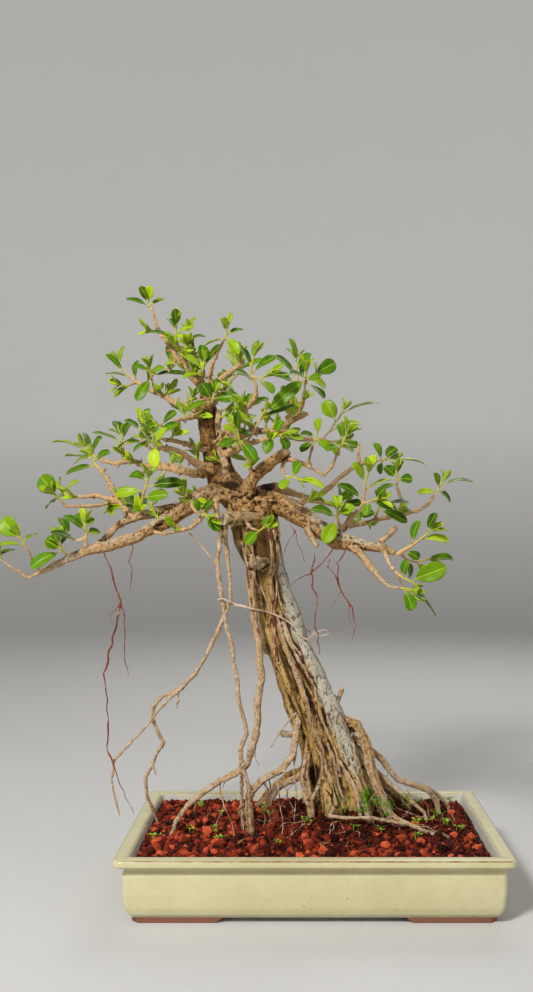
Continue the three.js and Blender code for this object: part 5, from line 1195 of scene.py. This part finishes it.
def bark_tones(points, normals, thickness, proud, trunk):
    """Grey, dark, young and damp shares of each point of the bark. The dark share holds the upper trunk's
    dark bark and the scar, with painted shadow under the fork and below the crown and painted shade in the
    groove, the hollow and the cavity.
    """
    across, down, depth = sheet_places(points)
    rough = noise_at(points, 90.0, 1)
    broad = noise_at(points, 28.0, 2)
    oval = {name: in_oval(across, down, *place) for name, place in OVALS.items()}
    stub = oval["stub"] * fade(depth, -18, -23)
    scar = oval["scar"] * fade(normals[:, 1], 0.1, -0.1)
    # The upper trunk, dark but for a pale strip.
    upper = fade(np.abs(across - 211 - (down - 430) * 0.22), 24, 15) * fade(down, 396, 410)
    upper *= fade(down, 505, 478) * fade(thickness, 0.012, 0.017)
    strip = upper * fade(np.abs(across - 219.5 - fade(down, 440, 470) * 6 - 1.5 * rough), 5, 2.5)
    # Roots that cling to the trunk keep their young skin.
    clinging = fade(proud, 0.2 * MM, 0.6 * MM) * trunk
    young = np.maximum(fade(thickness, 0.0105, 0.0055), clinging * 0.85)

    strand_across, strand_width = (np.interp(down, GREY_STRAND[:, 1], GREY_STRAND[:, row]) for row in (0, 2))
    strand = trunk * fade(np.abs(across - strand_across + 2 * rough), strand_width, strand_width * 0.7)
    strand *= fade(down, 548, 566) * fade(down, 790, 762)
    weathered = (1 - trunk) * fade(down, 560, 540) * fade(thickness, 0.005, 0.011)
    weathered *= fade(normals[:, 2], -0.5, 0.5) * (0.35 + 0.45 * fade(broad, -0.2, 0.4))
    weathered *= 0.15 + 0.85 * fade(np.hypot(across - 258, down - 480), 24, 58)
    clouds = trunk * 0.22 * fade(broad, 0.0, 0.5)
    grey = np.max((strand, weathered, 0.35 * stub, 0.4 * oval["knob"], clouds), axis=0)
    grey = grey * (1 - upper) + strip * 0.35
    grey *= (1 - np.maximum(oval["hollow"], scar)) * (1 - 0.8 * clinging) * (1 - young * 0.45)

    # Painted shade along the groove.
    groove_shade = fade(np.abs(across - np.interp(down, GROOVE[:, 1], GROOVE[:, 0])), 2.6, 1.0)
    groove_shade *= trunk * 0.8 * fade(down, 635, 655) * fade(down, 742, 722)
    # Painted shadow under the fork (the collar) and below the crown.
    shadow = trunk * np.maximum(oval["collar"] * 0.7, 0.38 * fade(down, 670, 570))
    # The dark share: dark bark and the scar, with the painted shadow and the painted shade of the groove, the
    # hollow and the cavity.
    dark = np.max((upper * 0.5 * (1 - strip), shadow, groove_shade, scar, oval["hollow"], oval["cavity"]), axis=0)
    dark *= 1 - 0.6 * young

    above_soil = (points[:, 2] - 0.062) / MM
    damp = fade(above_soil + 6 * rough, 16, 2) * fade(thickness, 0.004, 0.012)
    return np.stack((grey, dark, young, damp * 0.8), axis=1)


def cut_share(points):
    """1 on the cream faces of cut stubs."""
    share = np.zeros(len(points))
    for across, down, depth, radius in CUT_FACES:
        away = np.linalg.norm(points - np.array(on_sheet(across, down, depth)), axis=1) / MM
        share = np.maximum(share, fade(away, radius, radius * 0.82))
    return share


def add_burls(source, draw):
    """Burls, clinging roots and bud pegs, which the fine skin then fuses with the wood."""
    corners, faces = ball(2)
    for across, down, radius in BURLS:
        spot, normal, _, _ = seen(WOOD_TREE, across, down)
        if spot is None:
            continue
        middle = spot - normal * radius * 0.5 * MM
        source.add([middle + corner * radius * MM * draw.uniform(0.7, 1.15) for corner in corners], faces)
    for pixels, radius in CLINGING_ROOTS:
        hits = [seen(WOOD_TREE, across, down) for across, down in pixels]
        path = [hit[0] + hit[1] * radius * 0.35 * MM for hit in hits if hit[0] is not None]
        if len(path) > 2:
            source.add(*tapered(smooth_route(path, 4), radius * MM, 0, 8))
    for spot, normal in spots_on_wood(draw, *BUD_PEGS):
        way = (normal + UP * 0.45).normalized()
        length = draw.uniform(0.0018, 0.0042)
        path = [spot - normal * 0.001, spot + way * length * 0.5, spot + way * length]
        source.add(*tube(path, [0.0017, 0.0013, 0.0009], 6))


def decimated(points, faces, share, **marks):
    """The surface with fewer faces where it is smooth, and its marks."""
    piece = mesh_of("fine", points, faces, **marks)
    piece.modifiers.new("thin_out", "DECIMATE").ratio = share
    mesh = applied(piece)
    points, faces = arrays_of(mesh)
    kept = {}
    for mark, values in marks.items():
        wide = values.shape[1]
        kept[mark] = read(mesh.attributes[mark].data, "color" if wide == 4 else "vector", wide)
    normals = read(mesh.vertex_normals, "vector", 3)
    bpy.data.objects.remove(piece)
    return points, faces, normals, kept


# The share of the bark's faces that is kept, and the pixel height at which the wood is split in two meshes.
BARK_KEPT = 0.49
WOOD_SPLIT = 585
# Wood is measured no thicker than this.
THICKEST = 0.06


class BONSAI_OT_wood(bpy.types.Operator):
    """Cover the trunk, limbs and woody roots with bark"""

    bl_idname = "bonsai.wood"
    bl_label = "Wood"

    def execute(self, context):
        look = context.scene.bonsai_wood
        source = Heap()
        source.add(*welded("trunk"))
        add_burls(source, random.Random(37))
        points, faces, normals, edges = fine_skin(source.points, source.faces, look.cell, 12)
        thickness, proud = wood_under(points, THICKEST)
        trunk = trunk_share(points, thickness)
        carved = points + normals * (look.relief * bark_relief(points, thickness, trunk))[:, None]
        tones = bark_tones(points, normals, thickness, proud, trunk)
        # Painted shade in the hollows, joined with the dark share, which holds painted shadow and shade as
        # well as dark bark.
        hollow = np.maximum(hollow_share(carved, edges, normals), tones[:, 1])
        height = fade(sheet_places(points)[1], 560, 500)
        marks = {
            "tone": tones,
            "form": np.stack((trunk, hollow, cut_share(points), height), axis=1),
            "grain": along_grain(points),
        }
        points, faces, normals, marks = decimated(swayed(carved), faces, BARK_KEPT, **marks)
        first = sheet_places(points[np.array([face[0] for face in faces])])[1]
        finish = bark_finish(look)
        for name, mask in (("upper_wood", first < WOOD_SPLIT), ("lower_wood", first >= WOOD_SPLIT)):
            chosen = [face for face, inside in zip(faces, mask) if inside]
            used = np.unique([corner for face in chosen for corner in face])
            fresh = {old: new for new, old in enumerate(used)}
            moved = [[fresh[corner] for corner in face] for face in chosen]
            part = {mark: values[used] for mark, values in marks.items()}
            piece = mesh_of(name, points[used], moved, [finish], **part)
            piece.data.normals_split_custom_set_from_vertices([tuple(normal) for normal in normals[used]])
            ride(piece, "bark", "trunk")
        return {"FINISHED"}


class BONSAI_OT_hanging_roots(bpy.types.Operator):
    """Round and roughen the red aerial roots"""

    bl_idname = "bonsai.hanging_roots"
    bl_label = "Aerial roots"

    def execute(self, context):
        look = context.scene.bonsai_wood
        finish = root_finish(look)
        for node in sorted(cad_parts):
            if not node.startswith("aerial_root"):
                continue
            points, faces, normals, _ = fine_skin(*welded(node), 0.0005, 5)
            points = points - normals * (0.0005 - 0.0002 * noise_at(points, 420.0, 8))[:, None]
            free = fade(points[:, 2].max() - points[:, 2], 0.0, 0.012)[:, None]
            points = swayed(points + wander(points, 110.0, 9) * free * 0.0015)
            piece = mesh_of(node.replace("aerial_root", "red_root"), points, faces, [finish])
            ride(piece, "red_root", node)
        return {"FINISHED"}


# Thin roots that run down the trunk's front: radius in mm, and the pixels that each is seen at.
THREADS = (
    (0.8, ((243, 548), (247, 566), (249, 585), (253, 612), (260, 638), (268, 668), (277, 700))),
    (0.9, ((273, 530), (277, 548), (275, 566), (277, 590), (274, 612), (275, 640), (279, 664))),
    (0.7, ((268, 528), (272, 552), (270, 580), (272, 604), (270, 626), (276, 650), (276, 672))),
    (0.6, ((256, 576), (265, 596), (272, 617), (284, 634))),
    (0.6, ((297, 640), (305, 662), (313, 690), (317, 716), (325, 742))),
    (0.6, ((316, 690), (318, 708), (314, 724), (321, 742), (324, 768))),
    (0.7, ((290, 652), (300, 676), (306, 700), (312, 730), (322, 752), (325, 780))),
    (0.6, ((327, 712), (335, 732), (338, 758), (343, 782))),
    (0.6, ((330, 700), (338, 712), (346, 722))),
)
THREAD_STEPS = 8
SURFACE_ROOTS = 26


def bark_tree():
    """A search tree over the finished bark."""
    bark = Heap()
    for name in ("upper_wood", "lower_wood"):
        bark.add(*arrays_of(bpy.data.objects[name].data))
    return tree_over(bark.points, bark.faces)


def thread_route(pixels, bark, radius):
    """A path over the bark through what is seen at each pixel, evened out."""
    route = []
    for (across, down), (next_across, next_down) in zip(pixels, pixels[1:]):
        for step in range(THREAD_STEPS):
            share = step / THREAD_STEPS
            pixel = across + (next_across - across) * share, down + (next_down - down) * share
            spot, normal, _, _ = seen(bark, *pixel)
            if spot is not None:
                route.append(spot + normal * radius * 0.5)
    for _ in range(2):
        inner = [(a + b * 2 + c) / 4 for a, b, c in zip(route, route[1:], route[2:])]
        route = [route[0], *inner, route[-1]]
    return route


def surface_route(draw):
    """A thin root's way over the grit, outwards from the trunk's foot, which dives at both ends."""
    angle = draw.uniform(0, 2 * math.pi)
    place = TRUNK_FOOT + pointing(angle) * draw.uniform(0.02, 0.06)
    step = draw.uniform(0.005, 0.009)
    route = []
    for _ in range(10):
        spot = ground(place.x, place.y)
        lift = UP * draw.uniform(0.0022, 0.0054)
        angle += draw.gauss(0, 0.6)
        place += pointing(angle) * step
        if spot is not None:
            route.append(spot + lift)
        elif route:
            break
    for end in (0, -1):
        if route:
            route[end] -= UP * 0.006
    return route


def rootlet_route(spot, draw):
    """A thin root's way from the wood to the soil, or nothing where it would miss the soil."""
    drift = Vector((draw.gauss(0, 0.015), draw.gauss(0, 0.010), 0))
    bends = [Vector((draw.gauss(0, 0.0038), draw.gauss(0, 0.0038), 0)) for _ in range(3)]
    foot = ground(spot.x + drift.x, spot.y + drift.y)
    if foot is None:
        return []
    foot -= UP * 0.001
    knees = [spot.lerp(foot, share) + bend for share, bend in zip((0.25, 0.5, 0.75), bends)]
    return [Vector(point) for point in swayed(smooth_route([spot, *knees, foot], 4))]


class BONSAI_OT_rootlets(bpy.types.Operator):
    """Run threads down the trunk and thin roots over the grit, and drop rootlets to the soil"""

    bl_idname = "bonsai.rootlets"
    bl_label = "Rootlets"

    def execute(self, context):
        draw = random.Random(53)
        heap = Heap()
        bark = bark_tree()
        for radius, pixels in THREADS:
            heap.add(*tapered(thread_route(pixels, bark, radius * MM), radius * MM, 0, 6))
        for _ in range(SURFACE_ROOTS):
            route = surface_route(draw)
            thick = draw.uniform(0.0004, 0.0009)
            if len(route) > 3:
                heap.add(*tapered(smooth_route(route, 3), thick, 0.5))
        for spot, _ in spots_on_wood(draw, *ROOTLETS):
            route = rootlet_route(spot, draw)
            thick = draw.uniform(0.0003, 0.0007)
            if route:
                heap.add(*tapered(route, thick, 0.4))
        piece = heap.piece("rootlets", [root_finish(context.scene.bonsai_wood, 0.13)])
        ride(piece, "red_root")
        return {"FINISHED"}


# The tie's parts, as in the solids: across, down and depth behind the sheet of each bend, and radius in mm.
# They are the loop round the prop roots, the twisted stretch, the strand in front of the trunk, the one
# behind it and the loose loop.
TIE_ROUTES = (
    (((234.4, 604, -23), (230, 602, -28), (222, 599.6, -27.2), (218, 600, -23.4), (219, 601, -19.4),
      (222.5, 602, -17.6), (230, 604, -18.2), (234.6, 604.4, -22.6)), 0.85),
    (((233.4, 603.8, -23), (240, 606.4, -23.6), (248, 608.2, -24)), 1.8),
    (((246.6, 608, -24), (254, 609, -25.4), (262, 610.5, -20), (270, 612.5, -13), (278, 616, -13.6),
      (284, 619.5, -12), (293, 627, -10.6), (300, 634, -11.4), (304.5, 637.5, -11.2), (309, 638.5, -9.6),
      (312.6, 636.5, -3), (315.4, 634.5, 2)), 0.85),
    (((247.4, 608.2, -24.4), (246.6, 608, -16), (251, 609, -9), (254.4, 611, 3), (255.8, 612, 12),
      (261, 613.5, 21.4), (268.6, 616, 33.4), (276, 617.5, 35.4), (290, 623, 34.6), (298, 626, 35.4),
      (306, 629, 29), (312, 631, 14), (314, 632.5, 7), (315.2, 634.3, 1.4)), 0.85),
    (((315.4, 634.2, 2.2), (320, 631, 1), (327.4, 630.4, 2.2), (328.6, 632.8, 3), (327.6, 634, 3.4),
      (321, 635.8, 3.6), (315.4, 634.8, 2.2)), 0.85),
)


def smooth_route(corners, steps):
    """A smooth path through corners."""
    path = []
    for i in range(len(corners) - 1):
        before, start = corners[max(i - 1, 0)], corners[i]
        end, after = corners[i + 1], corners[min(i + 2, len(corners) - 1)]
        bend = 2 * before - 5 * start + 4 * end - after
        swing = 3 * start - before - 3 * end + after
        for step in range(steps):
            share = step / steps
            path.append(0.5 * (2 * start + (end - before) * share + bend * share ** 2 + swing * share ** 3))
    return path + [corners[-1]]


def twisted_strands(path, radius, pitch):
    """Two strands wound round each other along a path."""
    half = radius * 0.55
    length = 0.0
    last = path[0]
    routes = ([], [])
    for point, side, other in cross_sections(path, Vector((0.2, 0.3, 1))):
        length += (point - last).length
        last = point
        angle = 2 * math.pi * length / pitch
        offset = (side * math.cos(angle) + other * math.sin(angle)) * (radius - half)
        routes[0].append(point + offset)
        routes[1].append(point - offset)
    return [tapered(route, half, 0, 6) for route in routes]


class BONSAI_OT_tie(bpy.types.Operator):
    """Wind the fibre tie round the prop roots and the trunk"""

    bl_idname = "bonsai.tie"
    bl_label = "Tie"

    def execute(self, context):
        heap = Heap()
        for route, radius in TIE_ROUTES:
            path = smooth_route([on_sheet(*corner) for corner in route], 8)
            path = [Vector(point) for point in swayed(path)]
            for strand in twisted_strands(path, radius * MM, 4 * radius * MM):
                heap.add(*strand)
        tie = heap.piece("twisted_tie", [fibre_finish(context.scene.bonsai_wood)])
        ride(tie, "fibre", "binding_tie")
        return {"FINISHED"}


# The blade's edge in the solids is this thick, which is how its rings are found.
CAD_BLADE = 0.7 * MM
# A blade has so many pairs of corners.
BLADE_PAIRS = (6, 8)
# The edges of a stem's pointed end are shorter than this.
CAD_BUD = 0.8 * MM


def sides_of(face):
    """The edges of a face: sorted pairs of its corners."""
    return [tuple(sorted(pair)) for pair in zip(face, face[1:] + face[:1])]


def edge_lengths(points, faces):
    """The length of each edge."""
    edges = {side for face in faces for side in sides_of(face)}
    return {edge: np.linalg.norm(points[edge[0]] - points[edge[1]]) for edge in edges}


def find_blades(points, faces):
    """The blades of a shoot's solid, each as left and right middles from foot to tip and its stalk's foot."""
    edges = edge_lengths(points, faces)
    pairs = [edge for edge in sorted(edges) if abs(edges[edge] - CAD_BLADE) < 0.004 * MM]
    pair_of = {corner: pair for pair in pairs for corner in pair}
    near = {}
    for first, second in edges:
        near.setdefault(first, set()).add(second)
        near.setdefault(second, set()).add(first)
    group = {pair: pair for pair in pairs}

    def head(pair):
        while group[pair] != pair:
            pair = group[pair]
        return pair

    for first, second in edges:
        if first in pair_of and second in pair_of:
            group[head(pair_of[first])] = head(pair_of[second])
    clusters = {}
    for pair in pairs:
        clusters.setdefault(head(pair), []).append(pair)
    blades = []
    corners = set()
    for members in clusters.values():
        stalk = {pair: {c for v in pair for c in near[v] if c not in pair_of} for pair in members}
        foot_pairs = [pair for pair in members if stalk[pair]]
        if len(members) not in BLADE_PAIRS or len(foot_pairs) != 2:
            continue
        middle = {pair: (points[pair[0]] + points[pair[1]]) / 2 for pair in members}
        left, right = foot_pairs
        base = (middle[left] + middle[right]) / 2
        across = middle[left] - middle[right]
        across /= np.linalg.norm(across)
        sides = {1: [], -1: []}
        for pair in members:
            away = middle[pair] - base
            offset = away @ across
            sides[1 if offset > 0 else -1].append((np.linalg.norm(away - across * offset), middle[pair]))
        if len(sides[1]) != len(sides[-1]):
            continue
        rings = [(a[1], b[1]) for a, b in zip(*(sorted(sides[s], key=lambda item: item[0]) for s in (1, -1)))]
        seat = sorted(set().union(*(stalk[pair] for pair in foot_pairs)))
        blades.append((rings, points[seat].mean(axis=0)))
        corners.update(corner for pair in members for corner in pair)
    return blades, corners


# The slots of a leafy piece's finishes.
ABOVE, BELOW, STEM = range(3)
# Rows and columns of a blade's grid, and of the grid of a blade no wider than a small one.
BLADE_GRID = (12, 8)
SMALL_GRID = (8, 4)
SMALL_BLADE = 0.009
# How high a grown blade arches, in parts of its length.
BLADE_ARCH = 0.07


def blade_half_width(share):
    """The blade's outline: broadest past the middle, blunt at the tip, with a short wedge at the stalk."""
    return share ** 0.68 * (1 - share) ** 0.5 / 0.452


def add_blade(heap, base, tip, across, upper, width, age, draw, thickness, arch=BLADE_ARCH, fold=0.22):
    """A leaf blade: two skins on a folded, arched grid with a wavy edge, joined round the rim."""
    length = (tip - base).length
    rows, columns = BLADE_GRID if width > SMALL_BLADE else SMALL_GRID
    wave = draw.uniform(0, TURN)
    twist = draw.uniform(-0.25, 0.25)
    tops, tones = [], []
    for row in range(rows + 1):
        share = 0.5 - 0.5 * math.cos(math.pi * row / rows)
        half = max(blade_half_width(share), 0.05) * width / 2
        middle = base.lerp(tip, share) + upper * (arch * length * 4 * share * (1 - share))
        turned = across * math.cos(twist * share) + upper * math.sin(twist * share)
        for column in range(columns + 1):
            side = 2 * column / columns - 1
            rise = fold * abs(side) ** 1.2 * half
            rise += 0.05 * half * math.sin(wave + 9 * share + 2 * side) * side * side
            tops.append(middle + turned * side * half + upper * rise)
            tones.append((share, 0.5 + 0.5 * side, age, 0))
    drop = upper * -thickness
    points = tops + [point + drop for point in tops]
    stride = columns + 1
    count = len(tops)
    upper_faces, under_faces = [], []
    for row in range(rows):
        for column in range(columns):
            a = row * stride + column
            quad = [a, a + 1, a + stride + 1, a + stride]
            upper_faces.append(quad)
            under_faces.append([count + corner for corner in reversed(quad)])
    rim = list(range(columns))
    rim += [row * stride + columns for row in range(rows)]
    rim += [rows * stride + column for column in range(columns, 0, -1)]
    rim += [row * stride for row in range(rows, 0, -1)]
    for first, second in zip(rim, rim[1:] + rim[:1]):
        under_faces.append([second, first, first + count, second + count])
    slots = [ABOVE] * len(upper_faces) + [BELOW] * len(under_faces)
    heap.add(points, upper_faces + under_faces, tones + tones, slots)


def add_stalk(heap, foot, base, tip, upper, age):
    """The stalk, which runs on under the blade as its midrib."""
    reach = (tip - base).length
    path = [foot, foot.lerp(base, 0.5) + upper * 0.0002, base]
    radii = [0.00085, 0.00065, 0.0006]
    for share in (0.25, 0.5, 0.75, 0.92):
        path.append(base.lerp(tip, share) + upper * (BLADE_ARCH * reach * 4 * share * (1 - share) - 0.0004))
        radii.append(0.00055 * (1 - 0.8 * share))
    heap.add(*tube(path, radii, 5), (0, 0, age, 0.25), STEM)


def stem_skin(points, faces, blade_corners):
    """The stem of a shoot's solid without its blades and stalks, closed and rounded."""
    shape = bmesh.new()
    corners = [shape.verts.new(point) for point in points]
    for face in faces:
        if not blade_corners.intersection(face):
            shape.faces.new([corners[corner] for corner in face])
    bmesh.ops.delete(shape, geom=[v for v in shape.verts if not v.link_faces], context="VERTS")
    bmesh.ops.holes_fill(shape, edges=[edge for edge in shape.edges if edge.is_boundary], sides=4)
    stem = mesh_of("stem", *emptied(shape))
    stem.modifiers.new("rounding", "SUBSURF").levels = 2
    result = arrays_of(applied(stem))
    bpy.data.objects.remove(stem)
    return result


def find_tips(points, faces):
    """The pointed ends of the stems: place and direction."""
    edges = edge_lengths(points, faces)
    small = [face for face in faces if all(edges[side] < CAD_BUD for side in sides_of(face))]
    tips = []
    done = set()
    for face in small:
        if done.intersection(face):
            continue
        ring = set(face)
        for other in small:
            if len(ring.intersection(other)) >= 2:
                ring.update(other)
        done.update(ring)
        back = {a if b in ring else b for a, b in edges if (a in ring) != (b in ring)}
        end = Vector(points[sorted(ring)].mean(axis=0))
        start = Vector(points[sorted(back)].mean(axis=0))
        tips.append((end, (end - start).normalized()))
    return tips


# The bud's points along the stem's way from its tip, and its radius at each.
BUD = ((-0.004, 0.0010), (-0.001, 0.0012), (0.003, 0.0008), (0.0065, 0.0002))
# Each young leaf stands so far round the stem from the last.
LEAF_TURN = 2.4


def add_young_leaves(heap, tip, way, draw, thickness):
    """Small bright leaves that have just opened round a stem's bud."""
    side = way.orthogonal().normalized()
    turn = draw.uniform(0, TURN)
    bud = tube([tip + way * reach for reach, _ in BUD], [radius for _, radius in BUD], 6)
    heap.add(*bud, (0, 0, 0.8, 0), STEM)
    for i in range(draw.choice((2, 3, 3, 4))):
        out = Quaternion(way, turn + LEAF_TURN * i) @ side
        spread = math.radians(draw.uniform(18, 46))
        length = draw.uniform(0.009, 0.0165)
        along = way * math.cos(spread) + out * math.sin(spread)
        base = tip - way * draw.uniform(0.0035, 0.006)
        blade_foot = base + along * 0.0015
        end = blade_foot + along * length
        upper = (way - along * way.dot(along)).normalized()
        across = along.cross(upper)
        age = draw.uniform(0.7, 1.0)
        width = length * draw.uniform(0.34, 0.48)
        add_blade(heap, blade_foot, end, across, upper, width, age, draw, thickness, arch=0.05, fold=0.5)
        heap.add(*tube([base, blade_foot + along * 0.0015], [0.0005, 0.0004], 5), (0, 0, age, 0), STEM)


def add_grown_leaf(heap, rings, foot, draw, thickness):
    """A blade and its stalk, where the solids have them."""
    centres = [(Vector(left) + Vector(right)) / 2 for left, right in rings]
    across = (Vector(rings[0][0]) - Vector(rings[0][1])).normalized()
    width = max((Vector(left) - Vector(right)).length for left, right in rings)
    base, tip = centres[0], centres[-1]
    chord = (tip - base).normalized()
    upper = chord.cross(across).normalized()
    if upper.dot(centres[1] - base) < 0:
        upper.negate()
    tip = tip + chord * width * 0.06
    large = fade(width, 0.013, 0.018)
    age = clamped(draw.gauss(0.37, 0.34)) * (1 - large) + large * draw.uniform(0.5, 0.8)
    add_blade(heap, base, tip, across, upper, width, age, draw, thickness)
    add_stalk(heap, Vector(foot), base, tip, upper, age)


class BONSAI_OT_shoots(bpy.types.Operator):
    """Grow the leafy shoots: stems, stalks, blades and new leaves"""

    bl_idname = "bonsai.shoots"
    bl_label = "Leafy shoots"

    def execute(self, context):
        thickness = context.scene.bonsai_leaf.thickness
        finishes = leafy_finishes(context.scene)
        for number, node in enumerate(sorted(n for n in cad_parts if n.startswith("shoot_"))):
            draw = random.Random(101 + number)
            points, faces = welded(node)
            blades, blade_corners = find_blades(points, faces)
            heap = Heap()
            stem_points, stem_faces = stem_skin(points, faces, blade_corners)
            tips = find_tips(points, faces)
            ends = np.array([tip for tip, _ in tips]) if tips else stem_points[:1]
            far = np.min(np.linalg.norm(stem_points[:, None] - ends[None], axis=2), axis=1)
            tones = [(0, 0, 0, woody) for woody in fade(far, 0.008, 0.022)]
            heap.add(stem_points, stem_faces, tones, STEM)
            for rings, foot in blades:
                add_grown_leaf(heap, rings, foot, draw, thickness)
            for tip, way in tips:
                add_young_leaves(heap, tip, way, draw, thickness)
            piece = heap.piece(node.replace("shoot_", "leafy_"), finishes, "blade", sway=True)
            ride(piece, "leaf", node)
        return {"FINISHED"}


class BONSAI_OT_sprouts(bpy.types.Operator):
    """Grow small sprouts straight from the twigs"""

    bl_idname = "bonsai.sprouts"
    bl_label = "Sprouts"

    def execute(self, context):
        draw = random.Random(71)
        finishes = leafy_finishes(context.scene)
        heap = Heap()
        for spot, normal in [spot for band in SPROUTS for spot in spots_on_wood(draw, *band)]:
            way = (normal + UP * draw.uniform(0.3, 1.2)).normalized()
            length = draw.uniform(0.004, 0.013)
            tip = spot + way * length
            path = [spot - normal * 0.001, spot + way * length * 0.5, tip]
            heap.add(*tube(path, [0.0012, 0.0010, 0.0008], 6), (0, 0, 0.6, 0), STEM)
            add_young_leaves(heap, tip, way, draw, context.scene.bonsai_leaf.thickness)
        ride(heap.piece("sprouts", finishes, "blade", sway=True), "leaf")
        return {"FINISHED"}


# Lights: their place from what they are aimed at, and their size, in metres.
LIGHTS = {"key": ((-0.85, -1.5, 1.25), 0.35), "fill": ((1.5, -0.9, 0.5), 1.2), "back": ((0.5, 1.5, 1.2), 1.0)}
AIM = POT_MIDDLE + Vector((-0.04, 0, 0.3))
WHITE = (1, 0.99, 0.97, 1)
# The floor is a round plate that curves up into a wall, far behind everything.
FLOOR_RADIUS = 2.6
CURVE_RADIUS = 1.4
CURVE_ANGLES = (0, 0.16, 0.31, 0.47, 0.63, 0.79, 0.94, 1.1, 1.26, 1.41, 1.57)
WALL_TOP = 3.6
WALL_SIDES = 96
# The wall's glow grows from the floor up to this height.
GLOW_HEIGHT = 0.8


def area_light(name, offset, size, power):
    data = bpy.data.lights.new(name, "AREA")
    data.size = size
    data.energy = power
    light = linked(name, data)
    light.location = AIM + Vector(offset)
    light.rotation_euler = (-Vector(offset)).to_track_quat("-Z", "Y").to_euler()


def lay_floor(look):
    """The plain floor and the wall that it runs up into."""
    finish = Finish("pale_floor", Roughness=0.9, Emission_Color=WHITE)
    finish.colour = finish.mix(finish.noise(3.0), look.floor, toned(0.97, look.floor))
    glow = finish.times(finish.between(finish.height(), 0.0, GLOW_HEIGHT), look.wall)
    profile = [
        (FLOOR_RADIUS + CURVE_RADIUS * math.sin(angle), CURVE_RADIUS * (1 - math.cos(angle)))
        for angle in CURVE_ANGLES
    ]
    profile.append((FLOOR_RADIUS + CURVE_RADIUS, WALL_TOP))
    turns = [2 * math.pi * side / WALL_SIDES for side in range(WALL_SIDES)]
    rings = [[pointing(turn) * radius + UP * height for turn in turns] for radius, height in profile]
    points, faces = loft(rings)
    floor = mesh_of("floor", points, faces[:-1], [finish.smooth(Emission_Strength=glow)])


def set_camera(scene):
    """The camera at the photograph's eye, shifted so that it looks level."""
    width, height = FRAME_SIZE
    data = bpy.data.cameras.new("camera")
    data.sensor_width = SENSOR
    data.lens = SENSOR * FOCAL / height
    data.shift_x = (width / 2 - SIGHT[0]) / height
    data.shift_y = (SIGHT[1] - height / 2) / height
    camera = linked("camera", data)
    camera.location = EYE
    camera.rotation_euler = (math.pi / 2, 0, 0)
    scene.camera = camera


class BONSAI_OT_stage(bpy.types.Operator):
    """Set the pale floor, the soft lights and the camera"""

    bl_idname = "bonsai.stage"
    bl_label = "Stage"

    def execute(self, context):
        look = context.scene.bonsai_stage
        scene = context.scene
        lay_floor(look)
        world = bpy.data.worlds.new("surround")
        world.use_nodes = True
        background = world.node_tree.nodes["Background"]
        background.inputs["Color"].default_value = WHITE
        background.inputs["Strength"].default_value = look.sky
        scene.world = world
        scene.view_settings.view_transform = "Standard"
        for name, (offset, size) in LIGHTS.items():
            area_light(name + "_light", offset, size, getattr(look, name))
        set_camera(scene)
        return {"FINISHED"}


OPERATORS = (
    BONSAI_OT_stage,
    BONSAI_OT_pot,
    BONSAI_OT_soil,
    BONSAI_OT_ground_plants,
    BONSAI_OT_wood,
    BONSAI_OT_hanging_roots,
    BONSAI_OT_rootlets,
    BONSAI_OT_tie,
    BONSAI_OT_shoots,
    BONSAI_OT_sprouts,
)
LOOKS = {
    "bonsai_pot": PotLook,
    "bonsai_soil": SoilLook,
    "bonsai_wood": WoodLook,
    "bonsai_leaf": LeafLook,
    "bonsai_stage": StageLook,
}


class BONSAI_PT_panel(bpy.types.Panel):
    """The bonsai's steps and looks"""

    bl_idname = "BONSAI_PT_panel"
    bl_label = "Bonsai"
    bl_space_type = "VIEW_3D"
    bl_region_type = "UI"
    bl_category = "Bonsai"

    def draw(self, context):
        for operator in OPERATORS:
            self.layout.operator(operator.bl_idname)
        for name, group in LOOKS.items():
            box = self.layout.box()
            look = getattr(context.scene, name)
            for key in group.__annotations__:
                box.prop(look, key)


def register():
    for group in (*LOOKS.values(), *OPERATORS, BONSAI_PT_panel):
        bpy.utils.register_class(group)
    for name, group in LOOKS.items():
        setattr(bpy.types.Scene, name, PointerProperty(type=group))


def unregister():
    for name in LOOKS:
        delattr(bpy.types.Scene, name)
    for group in reversed((*LOOKS.values(), *OPERATORS, BONSAI_PT_panel)):
        bpy.utils.unregister_class(group)


def main():
    register()
    for operator in OPERATORS:
        step = operator.bl_idname.split(".")[1]
        getattr(bpy.ops.bonsai, step)()
    bpy.context.view_layer.update()


if __name__ == "__main__":
    main()
